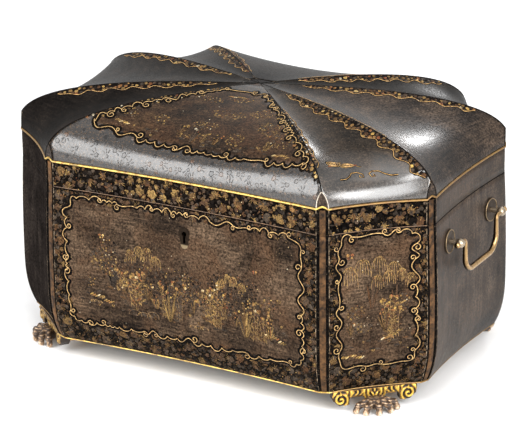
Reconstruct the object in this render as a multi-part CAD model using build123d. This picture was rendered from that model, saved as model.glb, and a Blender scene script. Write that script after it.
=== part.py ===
from build123d import *
import os
from math import asin, cos, pi, radians, sin, sqrt

# A lacquered deed box of canted octagonal plan with an umbrella lid, on four
# giltwood aprons with claw feet. Millimetres. The origin is on the floor below
# the middle of the box, +X runs to the right along the front, +Z is up, and the
# front faces -Y.

# Plan at the lid seam, as a sharp octagon before its corners are cut
half_length = 190.0
half_depth = 130.0
front_corner_x = 125.0
side_corner_y = 70.5
corner_cut = 7.0
front_hollow = 5.0
side_hollow = 4.0
facet_hollow = 4.0

# Heights of the outside
foot_height = 18.5
body_height = 134.5
rim_height = 21.0
dome_rise = 44.7
seam_gap = 0.2

# Curve of the body walls: out at the bulge, in at the foot
bulge = 2.5
bulge_height = 50.0
tuck = 6.5
wall_levels = 12

# Boards
wall_thickness = 10.0
lid_wall_thickness = 9.0
gore_thickness = 7.0
base_thickness = 8.0
base_fit = 0.1

# Gilt beads between the boards
bead_proud = 0.9
base_bead_thickness = 1.5
rim_bead_thickness = 1.6
base_bead_land = 18.0

# Umbrella dome
dome_power = 2.7
dome_sag = 11.0
crown_sag = 0.1
crown_share = 0.06
gore_steps = 10
crown_fit = 0.05

# Aprons and claws, one set under each facet
apron_half_width = 35.0
apron_thickness = 9.0
apron_inset = 1.0
apron_top_band = 5.0
wing_drop = 12.5
wing_outer_drop = 8.0
wing_inner = 20.5
wing_shoulder = 29.0
wing_taper = 1.0
stem_half_width = 8.0
stem_drop = 9.0
arch_radius = 4.0
block_length = 56.0
block_depth = 16.0
block_height = 10.0
palm_half_width = 11.0
palm_half_depth = 7.0
palm_top_drop = 6.5
palm_height = 9.0
palm_chamfer = 2.0
palm_forward = 1.0
toe_count = 5
toe_spread = 34.0
toe_reach_side = 18.0
toe_reach_forward = 12.0
toe_radius = 2.1
toe_tip_radius = 2.7
toe_tip_height = 5.0
toe_tip_chamfer = 0.9
toe_root_drop = 9.0
toe_root_share = 0.45

# Hinges at the back of the seam
hinge_spacing = 62.0
hinge_length = 36.0
hinge_leaf_depth = 12.0
hinge_leaf_thickness = 1.2
knuckle_radius = 2.0
knuckle_count = 3
knuckle_gap = 0.2
hinge_pin_radius = 0.9
pin_play = 0.05
leaf_notch_gap = 0.3
hinge_screw_spacing = 24.0
hinge_screw_inset = 8.5

# Small countersunk screws
screw_radius = 1.1
screw_head_radius = 2.1
screw_length = 8.0
screw_fit = 0.03

# Lock let into the front wall
lock_length = 64.0
lock_case_length = 48.0
lock_height = 30.0
lock_depth = 7.0
lock_plate = 1.2
lock_selvedge = 1.5
lock_screw_spacing = 56.0
bolt_tail = 3.0
bolt_height = 4.0
bolt_thickness = 2.0
bolt_travel = 8.0
bolt_tip_gap = 0.8
bolt_drop = 4.2
bolt_guide_play = 0.08
bolt_guide_length = 8.0
bolt_guide_wall = 1.0
talon_width = 4.0
talon_depth = 1.2
staple_play = 0.3
staple_wall = 1.2
staple_thickness = 3.0
staple_slot_play = 0.6
staple_plate_length = 40.0
staple_plate_thickness = 1.5
staple_screw_spacing = 30.0
staple_screw_length = 7.0

# Keyhole and its metal insert
insert_drop = 24.5
insert_upper_radius = 4.6
insert_lower_radius = 3.2
insert_circle_spacing = 10.2
insert_thickness = 1.8
insert_proud = 0.5
keyhole_radius = 2.2
keyhole_slot_width = 2.2
keyhole_slot_length = 8.0

# Drop handles on the two ends
handle_drop = 23.5
handle_spacing = 78.0
handle_stand = 10.0
plate_radius = 9.8
plate_thickness = 1.3
plate_lift = 0.2
post_radius = 2.2
post_head_radius = 3.8
post_fit = 0.05
nut_radius = 4.5
nut_thickness = 2.5
bail_radius = 1.8
bail_play = 0.06
bail_half_width = 29.5
bail_drop = 28.0
bail_shoulder_radius = 4.0
bail_corner_radius = 13.0
finial_radius = 2.6
finial_gap = 0.3

# Derived heights and places
seam = foot_height + body_height
lid_bottom = seam + seam_gap
wall_bottom = foot_height + base_bead_thickness
rim_bead_bottom = lid_bottom + rim_height
dome_base = rim_bead_bottom + rim_bead_thickness
hinge_axis_y = half_depth
hinge_axis_z = seam + seam_gap / 2

side_names = ["front", "front_right_facet", "right", "back_right_facet",
              "back", "back_left_facet", "left", "front_left_facet"]
front, right, back, left = [side_names.index(name) for name in ("front", "right", "back", "left")]
hollows = [front_hollow, facet_hollow, side_hollow, facet_hollow] * 2
corners = [Vector(-front_corner_x, -half_depth), Vector(front_corner_x, -half_depth),
           Vector(half_length, -side_corner_y), Vector(half_length, side_corner_y),
           Vector(front_corner_x, half_depth), Vector(-front_corner_x, half_depth),
           Vector(-half_length, side_corner_y), Vector(-half_length, -side_corner_y)]
side_count = len(corners)

nodes = {}


# ---------------------------------------------------------------- plan
def corner_at(index):
    return corners[index % side_count]


def side_direction(side):
    return (corner_at(side + 1) - corner_at(side)).normalized()


def side_normal(side):
    direction = side_direction(side)
    return Vector(direction.Y, -direction.X)


def sharp_corner(corner, offset):
    before = side_normal(corner - 1)
    after = side_normal(corner)
    return corner_at(corner) + (before + after) * (offset / (1 + before.dot(after)))


def strip_normal(corner):
    return (side_normal(corner - 1) + side_normal(corner)).normalized()


def strip_direction(corner):
    normal = strip_normal(corner)
    return Vector(-normal.Y, normal.X)


def strip_middle(corner, offset):
    along = side_direction(corner) - side_direction(corner - 1)
    return corner_at(corner) + along * (corner_cut / 2) + strip_normal(corner) * offset


def arc_radius(side, offset):
    half_chord = (sharp_corner(side + 1, offset) - sharp_corner(side, offset)).length / 2
    return (half_chord ** 2 + hollows[side] ** 2) / (2 * hollows[side])


def hollow_middle(side, offset):
    chord_middle = (sharp_corner(side, offset) + sharp_corner(side + 1, offset)) / 2
    return chord_middle - side_normal(side) * hollows[side]


def arc_meets_strip(side, corner, offset):
    # the point where the hollow arc of a side runs into the strip at one corner
    radius = arc_radius(side, offset)
    centre = hollow_middle(side, offset) + side_normal(side) * radius
    start = strip_middle(corner, offset)
    direction = strip_direction(corner)
    reach = start - centre
    half_sum = reach.dot(direction)
    root = sqrt(half_sum ** 2 - reach.dot(reach) + radius ** 2)
    step = min(root - half_sum, -root - half_sum, key=abs)
    return start + direction * step


def raised(point, height):
    return Vector(point.X, point.Y, height)


def side_arc(side, offset, height):
    first = arc_meets_strip(side, side, offset)
    last = arc_meets_strip(side, side + 1, offset)
    middle = hollow_middle(side, offset)
    return ThreePointArc(raised(first, height), raised(middle, height), raised(last, height))


def closed_face(edges):
    return Face(Wire(edges))


def outline_face(offset, height):
    edges = []
    for side in range(side_count):
        arc = side_arc(side, offset, height)
        next_arc = side_arc((side + 1) % side_count, offset, height)
        edges.append(arc)
        edges.append(Line(arc @ 1, next_arc @ 0))
    return closed_face(edges)


def board_face(side, outer, inner, height):
    outside = side_arc(side, outer, height)
    inside = side_arc(side, inner, height)
    edges = [outside, Line(outside @ 1, inside @ 1), inside, Line(inside @ 0, outside @ 0)]
    return closed_face(edges)


def post_face(corner, outer, inner, height):
    points = []
    for offset in (outer, inner):
        points.append(raised(arc_meets_strip((corner - 1) % side_count, corner, offset), height))
        points.append(raised(arc_meets_strip(corner % side_count, corner, offset), height))
    outer_before, outer_after, inner_before, inner_after = points
    return closed_face([Line(outer_before, outer_after), Line(outer_after, inner_after),
                        Line(inner_after, inner_before), Line(inner_before, outer_before)])


def ring(outer, inner, bottom, thickness):
    solid = extrude(outline_face(outer, bottom), thickness, dir=(0, 0, 1))
    return solid - extrude(outline_face(inner, bottom), thickness, dir=(0, 0, 1))


# ---------------------------------------------------------------- helpers
def block(low, high):
    size = [top - bottom for bottom, top in zip(low, high)]
    middle = [(top + bottom) / 2 for bottom, top in zip(low, high)]
    return Pos(*middle) * Box(*size)


def rod(start, end, radius):
    axis = Vector(*end) - Vector(*start)
    plane = Plane(origin=start, z_dir=axis)
    return plane * Cylinder(radius, axis.length, align=(Align.CENTER, Align.CENTER, Align.MIN))


def screw(place, pointing, length, extra=0.0):
    # a countersunk screw whose flat head lies at place; extra widens it into a hole
    plane = Plane(origin=place, z_dir=pointing)
    lift = (Align.CENTER, Align.CENTER, Align.MIN)
    head_depth = screw_head_radius - screw_radius
    head = Cone(screw_head_radius + extra, screw_radius + extra, head_depth, align=lift)
    shank = Cylinder(screw_radius + extra, length + extra, align=lift)
    return plane * (head + shank)


def group(solids):
    return Compound(children=[Part(solid.solid().wrapped) for solid in solids])


# ---------------------------------------------------------------- body
def wall_offset(height):
    above_floor = height - foot_height
    if above_floor > bulge_height:
        share = (above_floor - bulge_height) / (body_height - bulge_height)
        return bulge * (1 - share ** 2)
    share = 1 - above_floor / bulge_height
    return bulge - (bulge + tuck) * share ** 3


def wall_heights():
    # closer together near the foot, where the walls turn in
    heights = []
    for step in range(wall_levels + 1):
        share = (step / wall_levels) ** 1.5
        heights.append(wall_bottom + (seam - wall_bottom) * share)
    return heights


def body_board(side):
    faces = [board_face(side, wall_offset(h), -wall_thickness, h) for h in wall_heights()]
    return loft(faces)


def body_post(corner):
    faces = [post_face(corner, wall_offset(h), -wall_thickness, h) for h in wall_heights()]
    return loft(faces)


def base_board():
    outline = outline_face(-wall_thickness - base_fit, wall_bottom)
    return extrude(outline, base_thickness, dir=(0, 0, 1))


def base_bead():
    outer = wall_offset(foot_height) + bead_proud
    return ring(outer, -base_bead_land, foot_height, base_bead_thickness)


# ---------------------------------------------------------------- lid
def lid_board(side):
    face = board_face(side, 0, -lid_wall_thickness, lid_bottom)
    return extrude(face, rim_height, dir=(0, 0, 1))


def lid_post(corner):
    return extrude(post_face(corner, 0, -lid_wall_thickness, lid_bottom), rim_height, dir=(0, 0, 1))


def rim_bead():
    return ring(bead_proud, -lid_wall_thickness, rim_bead_bottom, rim_bead_thickness)


def gore_section(side, angle):
    # one cross-section of a gore, square to the dome's profile at this angle
    reach = cos(angle) ** (2 / dome_power)
    lift = sin(angle) ** (2 / dome_power)
    normal = side_normal(side)
    distance = corners[side].dot(normal)
    slope_out = reach ** (dome_power - 1) / distance
    slope_up = lift ** (dome_power - 1) / dome_rise
    length = sqrt(slope_out ** 2 + slope_up ** 2)
    out = slope_out / length
    up = slope_up / length
    facing = Vector(normal.X * out, normal.Y * out, up)
    inner_reach = reach - gore_thickness * out / distance
    height = dome_base + dome_rise * lift
    inner_height = height - gore_thickness * up
    first = raised(corners[side] * reach, height)
    last = raised(corner_at(side + 1) * reach, height)
    inner_first = raised(corners[side] * inner_reach, inner_height)
    inner_last = raised(corner_at(side + 1) * inner_reach, inner_height)
    spread = (reach - crown_share) / (1 - crown_share)
    sag = crown_sag + spread * (hollows[side] * (1 - lift) + dome_sag * lift)
    middle = (first + last) / 2 - facing * sag
    inner_middle = (inner_first + inner_last) / 2 - facing * sag
    outside = ThreePointArc(first, middle, last)
    inside = ThreePointArc(inner_last, inner_middle, inner_first)
    return closed_face([outside, Line(last, inner_last), inside, Line(inner_first, first)])


def strip_cutter(corner):
    middle = raised(strip_middle(corner, 0), dome_base)
    plane = Plane(origin=middle, x_dir=strip_direction(corner), z_dir=strip_normal(corner))
    size = 4 * corner_cut
    return plane * Box(size, dome_rise, size, align=(Align.CENTER, Align.MIN, Align.MIN))


def crown_angle():
    return pi / 2 - asin(crown_share ** (dome_power / 2))


def gore(side):
    sections = []
    for step in range(gore_steps + 1):
        sections.append(gore_section(side, crown_angle() * step / gore_steps))
    solid = loft(sections)
    return solid - strip_cutter(side) - strip_cutter((side + 1) % side_count)


def crown_piece():
    top = dome_base + dome_rise * sin(crown_angle()) ** (2 / dome_power)
    points = []
    for corner in corners:
        inset = corner * crown_share - corner.normalized() * crown_fit
        points.append((inset.X, inset.Y, top - gore_thickness))
    outline = Face(Wire.make_polygon(points))
    return extrude(outline, gore_thickness, dir=(0, 0, 1))


# ---------------------------------------------------------------- feet
def facet_plane(side):
    offset = wall_offset(foot_height) - apron_inset
    middle = (sharp_corner(side, offset) + sharp_corner(side + 1, offset)) / 2
    origin = raised(middle, foot_height)
    return Plane(origin=origin, x_dir=side_direction(side), z_dir=side_normal(side))


def apron_outline():
    outer = apron_half_width
    half = [(outer, 0), (outer - wing_taper, -wing_outer_drop), (wing_shoulder, -wing_drop)]
    mirrored = [(-x, y) for x, y in reversed(half)]
    wings = make_face(Polyline(*half, *mirrored, close=True))
    arch_width = wing_inner - stem_half_width
    arch_middle = (wing_inner + stem_half_width) / 2
    arch_height = 2 * wing_drop
    arch_drop = apron_top_band + arch_height / 2
    stem = Pos(0, -stem_drop - wing_drop / 2) * Rectangle(2 * stem_half_width, wing_drop)
    outline = wings - stem
    for direction in (-1, 1):
        place = Pos(direction * arch_middle, -arch_drop)
        outline -= place * RectangleRounded(arch_width, arch_height, arch_radius)
    return outline


def apron(side):
    return facet_plane(side) * extrude(apron_outline(), -apron_thickness)


def foot_block(side):
    low = (-block_length / 2, -block_height, -apron_thickness - block_depth)
    high = (block_length / 2, 0, -apron_thickness)
    return facet_plane(side) * block(low, high)


def claw(side):
    palm_plane = Plane(origin=(0, -palm_top_drop, palm_forward), x_dir=(1, 0, 0), z_dir=(0, -1, 0))
    outline = palm_plane * SlotOverall(2 * palm_half_width, 2 * palm_half_depth)
    palm = extrude(outline, palm_height)
    solid = chamfer(palm.edges().group_by(Axis.Y)[0] + palm.edges().group_by(Axis.Y)[-1], palm_chamfer)
    for toe in range(toe_count):
        angle = radians(toe_spread * (toe - (toe_count - 1) / 2))
        side_share = toe_reach_side * sin(angle)
        forward = toe_reach_forward * cos(angle)
        root = (side_share * toe_root_share, -toe_root_drop, forward * toe_root_share)
        sole = (side_share, -foot_height, forward)
        middle = (side_share, toe_tip_height / 2 - foot_height, forward)
        tip = rod(sole, (side_share, toe_tip_height - foot_height, forward), toe_tip_radius)
        solid += rod(root, middle, toe_radius)
        solid += chamfer(tip.edges().filter_by(GeomType.CIRCLE), toe_tip_chamfer)
    reach = 2 * toe_reach_side
    solid -= block((-reach, -stem_drop, -reach), (reach, 0, 0))
    return facet_plane(side) * solid


# ---------------------------------------------------------------- hinges
def hinge_screw_places(middle, height):
    y = hinge_axis_y - hinge_screw_inset
    return [(middle + direction * hinge_screw_spacing / 2, y, height) for direction in (-1, 1)]


def knuckle_span(index, middle):
    length = hinge_length / knuckle_count
    start = middle - hinge_length / 2 + index * length
    return start + knuckle_gap / 2, start + length - knuckle_gap / 2


def leaf_recess(middle, low, high):
    inner = hinge_axis_y - hinge_leaf_depth
    half = hinge_length / 2
    return block((middle - half, inner, low), (middle + half, hinge_axis_y, high))


def hinge_leaf(middle, low, high, knuckles):
    notch = hinge_axis_y - knuckle_radius - leaf_notch_gap
    inner = hinge_axis_y - hinge_leaf_depth
    half = hinge_length / 2
    leaf = block((middle - half, inner, low), (middle + half, notch, high))
    for index in knuckles:
        start, end = knuckle_span(index, middle)
        leaf += block((start, inner, low), (end, hinge_axis_y, high))
        leaf += rod((start, hinge_axis_y, hinge_axis_z), (end, hinge_axis_y, hinge_axis_z), knuckle_radius)
    bore = rod((middle - half, hinge_axis_y, hinge_axis_z), (middle + half, hinge_axis_y, hinge_axis_z),
               hinge_pin_radius + pin_play)
    return leaf - bore


def body_leaf(middle):
    leaf = hinge_leaf(middle, seam - hinge_leaf_thickness, seam, range(0, knuckle_count, 2))
    for place in hinge_screw_places(middle, seam):
        leaf -= screw(place, (0, 0, -1), screw_length, screw_fit)
    return leaf


def lid_leaf(middle):
    leaf = hinge_leaf(middle, lid_bottom, lid_bottom + hinge_leaf_thickness, range(1, knuckle_count, 2))
    for place in hinge_screw_places(middle, lid_bottom):
        leaf -= screw(place, (0, 0, 1), screw_length, screw_fit)
    return leaf


def hinge_pin(middle):
    half = hinge_length / 2
    return rod((middle - half, hinge_axis_y, hinge_axis_z), (middle + half, hinge_axis_y, hinge_axis_z),
               hinge_pin_radius)


# ---------------------------------------------------------------- lock
lock_face = -(half_depth - wall_thickness - front_hollow)
lock_plate_back = lock_face - lock_plate
lock_mouth = lock_face - lock_depth
lock_bottom = seam - lock_height
bolt_middle_y = (lock_mouth + lock_plate_back) / 2
bolt_top = seam - bolt_drop
bolt_length = bolt_guide_length + bolt_travel + bolt_tail
bolt_tip_x = -(staple_thickness / 2 + bolt_tip_gap)


def lock_recess():
    half = lock_length / 2
    case = lock_case_length / 2
    inside = lock_face + wall_thickness
    flange = block((-half, lock_plate_back, lock_bottom), (half, inside, seam))
    top = block((-half, lock_mouth, seam - lock_selvedge), (half, inside, seam))
    pocket = block((-case, lock_mouth, lock_bottom), (case, inside, seam))
    return flange + top + pocket


def staple_loop(extra_width, extra_depth):
    half_width = bolt_thickness / 2 + staple_play + staple_wall + extra_width
    half_thickness = staple_thickness / 2 + extra_width
    depth = bolt_drop + bolt_height + staple_play + staple_wall + extra_depth
    low = (-half_thickness, bolt_middle_y - half_width, seam - depth)
    high = (half_thickness, bolt_middle_y + half_width, lid_bottom + staple_plate_thickness)
    return block(low, high)


def bolt_bar(x_low, x_high, play):
    low = (x_low, bolt_middle_y - bolt_thickness / 2 - play, bolt_top - bolt_height - play)
    high = (x_high, bolt_middle_y + bolt_thickness / 2 + play, bolt_top + play)
    return block(low, high)


def lock_screw_places():
    height = seam - lock_height / 2
    return [(direction * lock_screw_spacing / 2, lock_face, height) for direction in (-1, 1)]


def lock_case():
    half = lock_length / 2
    case = lock_case_length / 2
    solid = block((-half, lock_plate_back, lock_bottom), (half, lock_face, seam))
    solid += block((-half, lock_mouth, seam - lock_selvedge), (half, lock_face, seam))
    solid += block((-case, lock_mouth, lock_bottom), (case, lock_face, seam))
    solid -= block((-case + lock_plate, lock_mouth, lock_bottom + lock_plate),
                   (case - lock_plate, lock_plate_back, seam - lock_selvedge))
    guide_end = bolt_tip_x - bolt_guide_wall
    guide_start = guide_end - bolt_guide_length
    guide_edge = bolt_thickness / 2 + bolt_guide_play + bolt_guide_wall
    guide = block((guide_start, bolt_middle_y - guide_edge, bolt_top - bolt_height - guide_edge),
                  (guide_end, lock_plate_back, seam - lock_selvedge))
    solid += guide
    solid -= bolt_bar(guide_start, guide_end, bolt_guide_play)
    solid -= staple_loop(staple_slot_play, staple_slot_play)
    for place in lock_screw_places():
        solid -= screw(place, (0, -1, 0), lock_depth, screw_fit)
    return solid


def lock_bolt():
    bar = bolt_bar(bolt_tip_x - bolt_length, bolt_tip_x, 0)
    talon_start = bolt_tip_x - bolt_length + talon_depth
    low = (talon_start, lock_mouth, bolt_top - bolt_height)
    high = (talon_start + talon_width, lock_face, bolt_top - bolt_height + talon_depth)
    return bar - block(low, high)


def staple_screw_places():
    return [(direction * staple_screw_spacing / 2, bolt_middle_y, lid_bottom) for direction in (-1, 1)]


def staple_plate():
    half = staple_plate_length / 2
    half_width = bolt_thickness / 2 + staple_play + staple_wall
    return block((-half, bolt_middle_y - half_width, lid_bottom),
                 (half, bolt_middle_y + half_width, lid_bottom + staple_plate_thickness))


def lock_staple():
    # a plate let into the lid, with a neck, two cheeks and a foot round the bolt's eye
    eye_half = bolt_thickness / 2 + staple_play
    half_width = eye_half + staple_wall
    half = staple_thickness / 2
    eye_top = bolt_top + staple_play
    eye_bottom = bolt_top - bolt_height - staple_play
    plate = staple_plate()
    for place in staple_screw_places():
        plate -= screw(place, (0, 0, 1), staple_screw_length, screw_fit)
    neck = block((-half, bolt_middle_y - half_width, eye_top),
                 (half, bolt_middle_y + half_width, lid_bottom))
    foot = block((-half, bolt_middle_y - half_width, eye_bottom - staple_wall),
                 (half, bolt_middle_y + half_width, eye_bottom))
    outer_cheek = block((-half, bolt_middle_y - half_width, eye_bottom),
                        (half, bolt_middle_y - eye_half, eye_top))
    inner_cheek = block((-half, bolt_middle_y + eye_half, eye_bottom),
                        (half, bolt_middle_y + half_width, eye_top))
    return group([plate, neck, outer_cheek, inner_cheek, foot])


# ---------------------------------------------------------------- keyhole
insert_z = seam - insert_drop
insert_surface = -(half_depth - front_hollow + wall_offset(insert_z))


def insert_outline():
    upper = Pos(0, insert_circle_spacing / 2) * Circle(insert_upper_radius)
    lower = Pos(0, -insert_circle_spacing / 2) * Circle(insert_lower_radius)
    return make_hull((upper + lower).edges())


def keyhole_outline():
    eye = Pos(0, keyhole_slot_length / 2) * Circle(keyhole_radius)
    slot = Rectangle(keyhole_slot_width, keyhole_slot_length)
    return eye + slot


def front_plane(depth):
    return Plane(origin=(0, depth, insert_z), x_dir=(1, 0, 0), z_dir=(0, -1, 0))


def insert_blank():
    return front_plane(insert_surface - insert_proud) * extrude(insert_outline(), -insert_thickness)


def keyhole_tool():
    return front_plane(insert_surface - insert_proud) * extrude(keyhole_outline(), -wall_thickness)


# ---------------------------------------------------------------- handles
handle_z = seam - handle_drop


def side_surface(y, offset):
    # how far out the right end stands at y, on its outside or its inside
    radius = arc_radius(right, offset)
    deepest = half_length + offset - side_hollow
    return deepest + radius - sqrt(radius ** 2 - y ** 2)


handle_post_y = handle_spacing / 2
outer_offset = wall_offset(handle_z)
pivot_x = side_surface(handle_post_y, outer_offset) + handle_stand
inner_wall_x = side_surface(handle_post_y - nut_radius, -wall_thickness)


def handle_plate_plane(y):
    lean = asin(y / arc_radius(right, outer_offset))
    rise = outer_offset - wall_offset(handle_z + 1)
    normal = Vector(cos(lean), -sin(lean), rise).normalized()
    surface = Vector(side_surface(y, outer_offset), y, handle_z)
    return Plane(origin=surface + normal * plate_lift, z_dir=normal)


def handle_post(y, extra=0.0):
    inner_end = inner_wall_x - nut_thickness
    return rod((inner_end, y, handle_z), (pivot_x, y, handle_z), post_radius + extra)


def handle_plate(y):
    lift = (Align.CENTER, Align.CENTER, Align.MIN)
    disc = handle_plate_plane(y) * Cylinder(plate_radius, plate_thickness, align=lift)
    return disc - handle_post(y, post_fit)


def handle_post_with_head(y):
    solid = handle_post(y) + Pos(pivot_x, y, handle_z) * Sphere(post_head_radius)
    reach = 2 * post_head_radius
    bore = rod((pivot_x, y - reach, handle_z), (pivot_x, y + reach, handle_z), bail_radius + bail_play)
    return solid - bore


def handle_nut(y):
    nut = rod((inner_wall_x - nut_thickness, y, handle_z), (inner_wall_x, y, handle_z), nut_radius)
    return nut - handle_post(y, post_fit)


def bail():
    end_y = handle_post_y + post_head_radius + finial_gap
    bottom = handle_z - bail_drop
    half = [(pivot_x, -end_y, handle_z), (pivot_x, -bail_half_width, handle_z),
            (pivot_x, -bail_half_width, bottom)]
    mirrored = [(x, -y, z) for x, y, z in reversed(half)]
    radii = [bail_shoulder_radius, bail_corner_radius, bail_corner_radius, bail_shoulder_radius]
    path = FilletPolyline(*half, *mirrored, radius=radii)
    section = Plane(origin=path @ 0, z_dir=path % 0) * Circle(bail_radius)
    solid = sweep(section, path=path)
    for direction in (-1, 1):
        place = Pos(pivot_x, direction * (end_y + finial_radius / 2), handle_z)
        solid += place * Sphere(finial_radius)
    return solid


def left_copy(solid):
    return mirror(solid, about=Plane.YZ)


# ---------------------------------------------------------------- assembly
hinge_places = (-hinge_spacing, hinge_spacing)
post_places = (-handle_post_y, handle_post_y)

body_boards = [body_board(side) for side in range(side_count)]
body_boards[front] -= lock_recess()
body_boards[front] -= keyhole_tool()
body_boards[front] -= insert_blank()
for place in lock_screw_places():
    body_boards[front] -= screw(place, (0, -1, 0), lock_depth, screw_fit)
for middle in hinge_places:
    body_boards[back] -= leaf_recess(middle, seam - hinge_leaf_thickness, seam)
    for place in hinge_screw_places(middle, seam):
        body_boards[back] -= screw(place, (0, 0, -1), screw_length, screw_fit)
for y in post_places:
    post_hole = handle_post(y, post_fit)
    body_boards[right] -= post_hole
    body_boards[left] -= left_copy(post_hole)

lid_boards = [lid_board(side) for side in range(side_count)]
lid_boards[front] -= staple_plate()
for place in staple_screw_places():
    lid_boards[front] -= screw(place, (0, 0, 1), staple_screw_length, screw_fit)
for middle in hinge_places:
    lid_boards[back] -= leaf_recess(middle, lid_bottom, lid_bottom + hinge_leaf_thickness)
    for place in hinge_screw_places(middle, lid_bottom):
        lid_boards[back] -= screw(place, (0, 0, 1), screw_length, screw_fit)

for side, name in enumerate(side_names):
    nodes[f"{name}_wall"] = body_boards[side]
    nodes[f"{name}_lid_rim"] = lid_boards[side]
    nodes[f"{name}_gore"] = gore(side)
    if name.endswith("facet"):
        foot_name = name.removesuffix("_facet")
        nodes[f"{foot_name}_apron"] = apron(side)
        nodes[f"{foot_name}_claw"] = claw(side)

front_corners = (0, 1, 2, 7)
back_corners = (3, 4, 5, 6)
nodes["front_corner_posts"] = group([body_post(corner) for corner in front_corners])
nodes["back_corner_posts"] = group([body_post(corner) for corner in back_corners])
nodes["front_lid_posts"] = group([lid_post(corner) for corner in front_corners])
nodes["back_lid_posts"] = group([lid_post(corner) for corner in back_corners])
nodes["foot_blocks"] = group([foot_block(side) for side in range(1, side_count, 2)])
nodes["base_board"] = base_board()
nodes["base_bead"] = base_bead()
nodes["rim_bead"] = rim_bead()
nodes["crown_piece"] = crown_piece()

nodes["hinge_body_leaves"] = group([body_leaf(middle) for middle in hinge_places])
nodes["hinge_lid_leaves"] = group([lid_leaf(middle) for middle in hinge_places])
nodes["hinge_pins"] = group([hinge_pin(middle) for middle in hinge_places])
body_screws = []
lid_screws = []
for middle in hinge_places:
    body_screws += [screw(place, (0, 0, -1), screw_length) for place in hinge_screw_places(middle, seam)]
    lid_places = hinge_screw_places(middle, lid_bottom)
    lid_screws += [screw(place, (0, 0, 1), screw_length) for place in lid_places]
nodes["hinge_body_screws"] = group(body_screws)
nodes["hinge_lid_screws"] = group(lid_screws)

nodes["lock_case"] = lock_case()
nodes["lock_bolt"] = lock_bolt()
nodes["lock_screws"] = group([screw(place, (0, -1, 0), lock_depth) for place in lock_screw_places()])
nodes["lock_staple"] = lock_staple()
staple_screws = [screw(place, (0, 0, 1), staple_screw_length) for place in staple_screw_places()]
nodes["staple_screws"] = group(staple_screws)
nodes["keyhole_insert"] = insert_blank() - keyhole_tool()

plates = [handle_plate(y) for y in post_places]
posts = [handle_post_with_head(y) for y in post_places]
nuts = [handle_nut(y) for y in post_places]
nodes["right_handle_plates"] = group(plates)
nodes["left_handle_plates"] = group([left_copy(plate) for plate in plates])
nodes["right_handle_posts"] = group(posts)
nodes["left_handle_posts"] = group([left_copy(post) for post in posts])
nodes["handle_nuts"] = group(nuts + [left_copy(nut) for nut in nuts])
nodes["right_bail"] = bail()
nodes["left_bail"] = left_copy(bail())

os.makedirs("parts", exist_ok=True)
for name, shape in nodes.items():
    export_step(shape, f"parts/{name}.step")
print(len(nodes), "nodes, handle pivot", pivot_x, handle_z, "hinge axis", hinge_axis_y, hinge_axis_z)
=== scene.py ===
import math
import random
import bmesh
import bpy
import numpy as np
from mathutils import Matrix, Vector


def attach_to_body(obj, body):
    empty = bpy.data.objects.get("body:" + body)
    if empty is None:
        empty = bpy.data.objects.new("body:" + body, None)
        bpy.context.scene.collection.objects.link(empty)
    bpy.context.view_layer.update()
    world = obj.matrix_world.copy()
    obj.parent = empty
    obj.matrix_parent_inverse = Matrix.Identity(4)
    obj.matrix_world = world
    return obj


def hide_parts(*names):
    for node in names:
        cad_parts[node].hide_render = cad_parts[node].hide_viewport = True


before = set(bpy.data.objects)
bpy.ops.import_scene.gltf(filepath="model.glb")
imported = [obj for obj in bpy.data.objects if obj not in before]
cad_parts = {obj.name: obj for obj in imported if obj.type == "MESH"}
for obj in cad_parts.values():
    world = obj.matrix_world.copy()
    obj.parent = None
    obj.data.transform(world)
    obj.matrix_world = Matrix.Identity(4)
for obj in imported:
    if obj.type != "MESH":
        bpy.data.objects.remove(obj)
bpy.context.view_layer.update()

mm = 0.001
tau = 2 * math.pi

# Outside of the box, as the boards are cut
box = {
    "halfLength": 190 * mm,
    "halfDepth": 130 * mm,
    "frontCornerX": 125 * mm,
    "sideCornerY": 70.5 * mm,
    "cornerCut": 7 * mm,
    "hollows": (5 * mm, 4 * mm, 4 * mm, 4 * mm),  # front, facet, end, facet
    "footHeight": 18.5 * mm,
    "bodyHeight": 134.5 * mm,
    "rimHeight": 21 * mm,
    "domeRise": 44.7 * mm,
    "seamGap": 0.2 * mm,
    "beadBottom": 1.5 * mm,
    "beadRim": 1.6 * mm,
    "bulge": 2.5 * mm,
    "bulgeHeight": 50 * mm,
    "tuck": 6.5 * mm,
    "wall": 10 * mm,
    "lidWall": 9 * mm,
    "gore": 7 * mm,
    "domePower": 2.7,
    "domeSag": 11 * mm,
    "crownSag": 0.1 * mm,
    "crownShare": 0.06,
}
sideNames = ("front", "front_right_facet", "right", "back_right_facet",
             "back", "back_left_facet", "left", "front_left_facet")
sideCount = len(sideNames)
seam = box["footHeight"] + box["bodyHeight"]
lidBottom = seam + box["seamGap"]
wallBottom = box["footHeight"] + box["beadBottom"]
rimTop = lidBottom + box["rimHeight"]
domeBase = rimTop + box["beadRim"]
corners = np.array([(-box["frontCornerX"], -box["halfDepth"]), (box["frontCornerX"], -box["halfDepth"]),
                    (box["halfLength"], -box["sideCornerY"]), (box["halfLength"], box["sideCornerY"]),
                    (box["frontCornerX"], box["halfDepth"]), (-box["frontCornerX"], box["halfDepth"]),
                    (-box["halfLength"], box["sideCornerY"]), (-box["halfLength"], -box["sideCornerY"])])


# plan of the box
def cornerAt(index):
    return corners[index % sideCount]


def unit(vector):
    return vector / np.linalg.norm(vector)


def sideDirection(side):
    return unit(cornerAt(side + 1) - cornerAt(side))


def sideNormal(side):
    along = sideDirection(side)
    return np.array((along[1], -along[0]))


def hollowOf(side):
    return box["hollows"][side % 4]


def sharpCorner(corner, offset):
    before = sideNormal(corner - 1)
    after = sideNormal(corner)
    return cornerAt(corner) + (before + after) * (offset / (1 + before @ after))


def stripNormal(corner):
    return unit(sideNormal(corner - 1) + sideNormal(corner))


def stripDirection(corner):
    normal = stripNormal(corner)
    return np.array((-normal[1], normal[0]))


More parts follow.
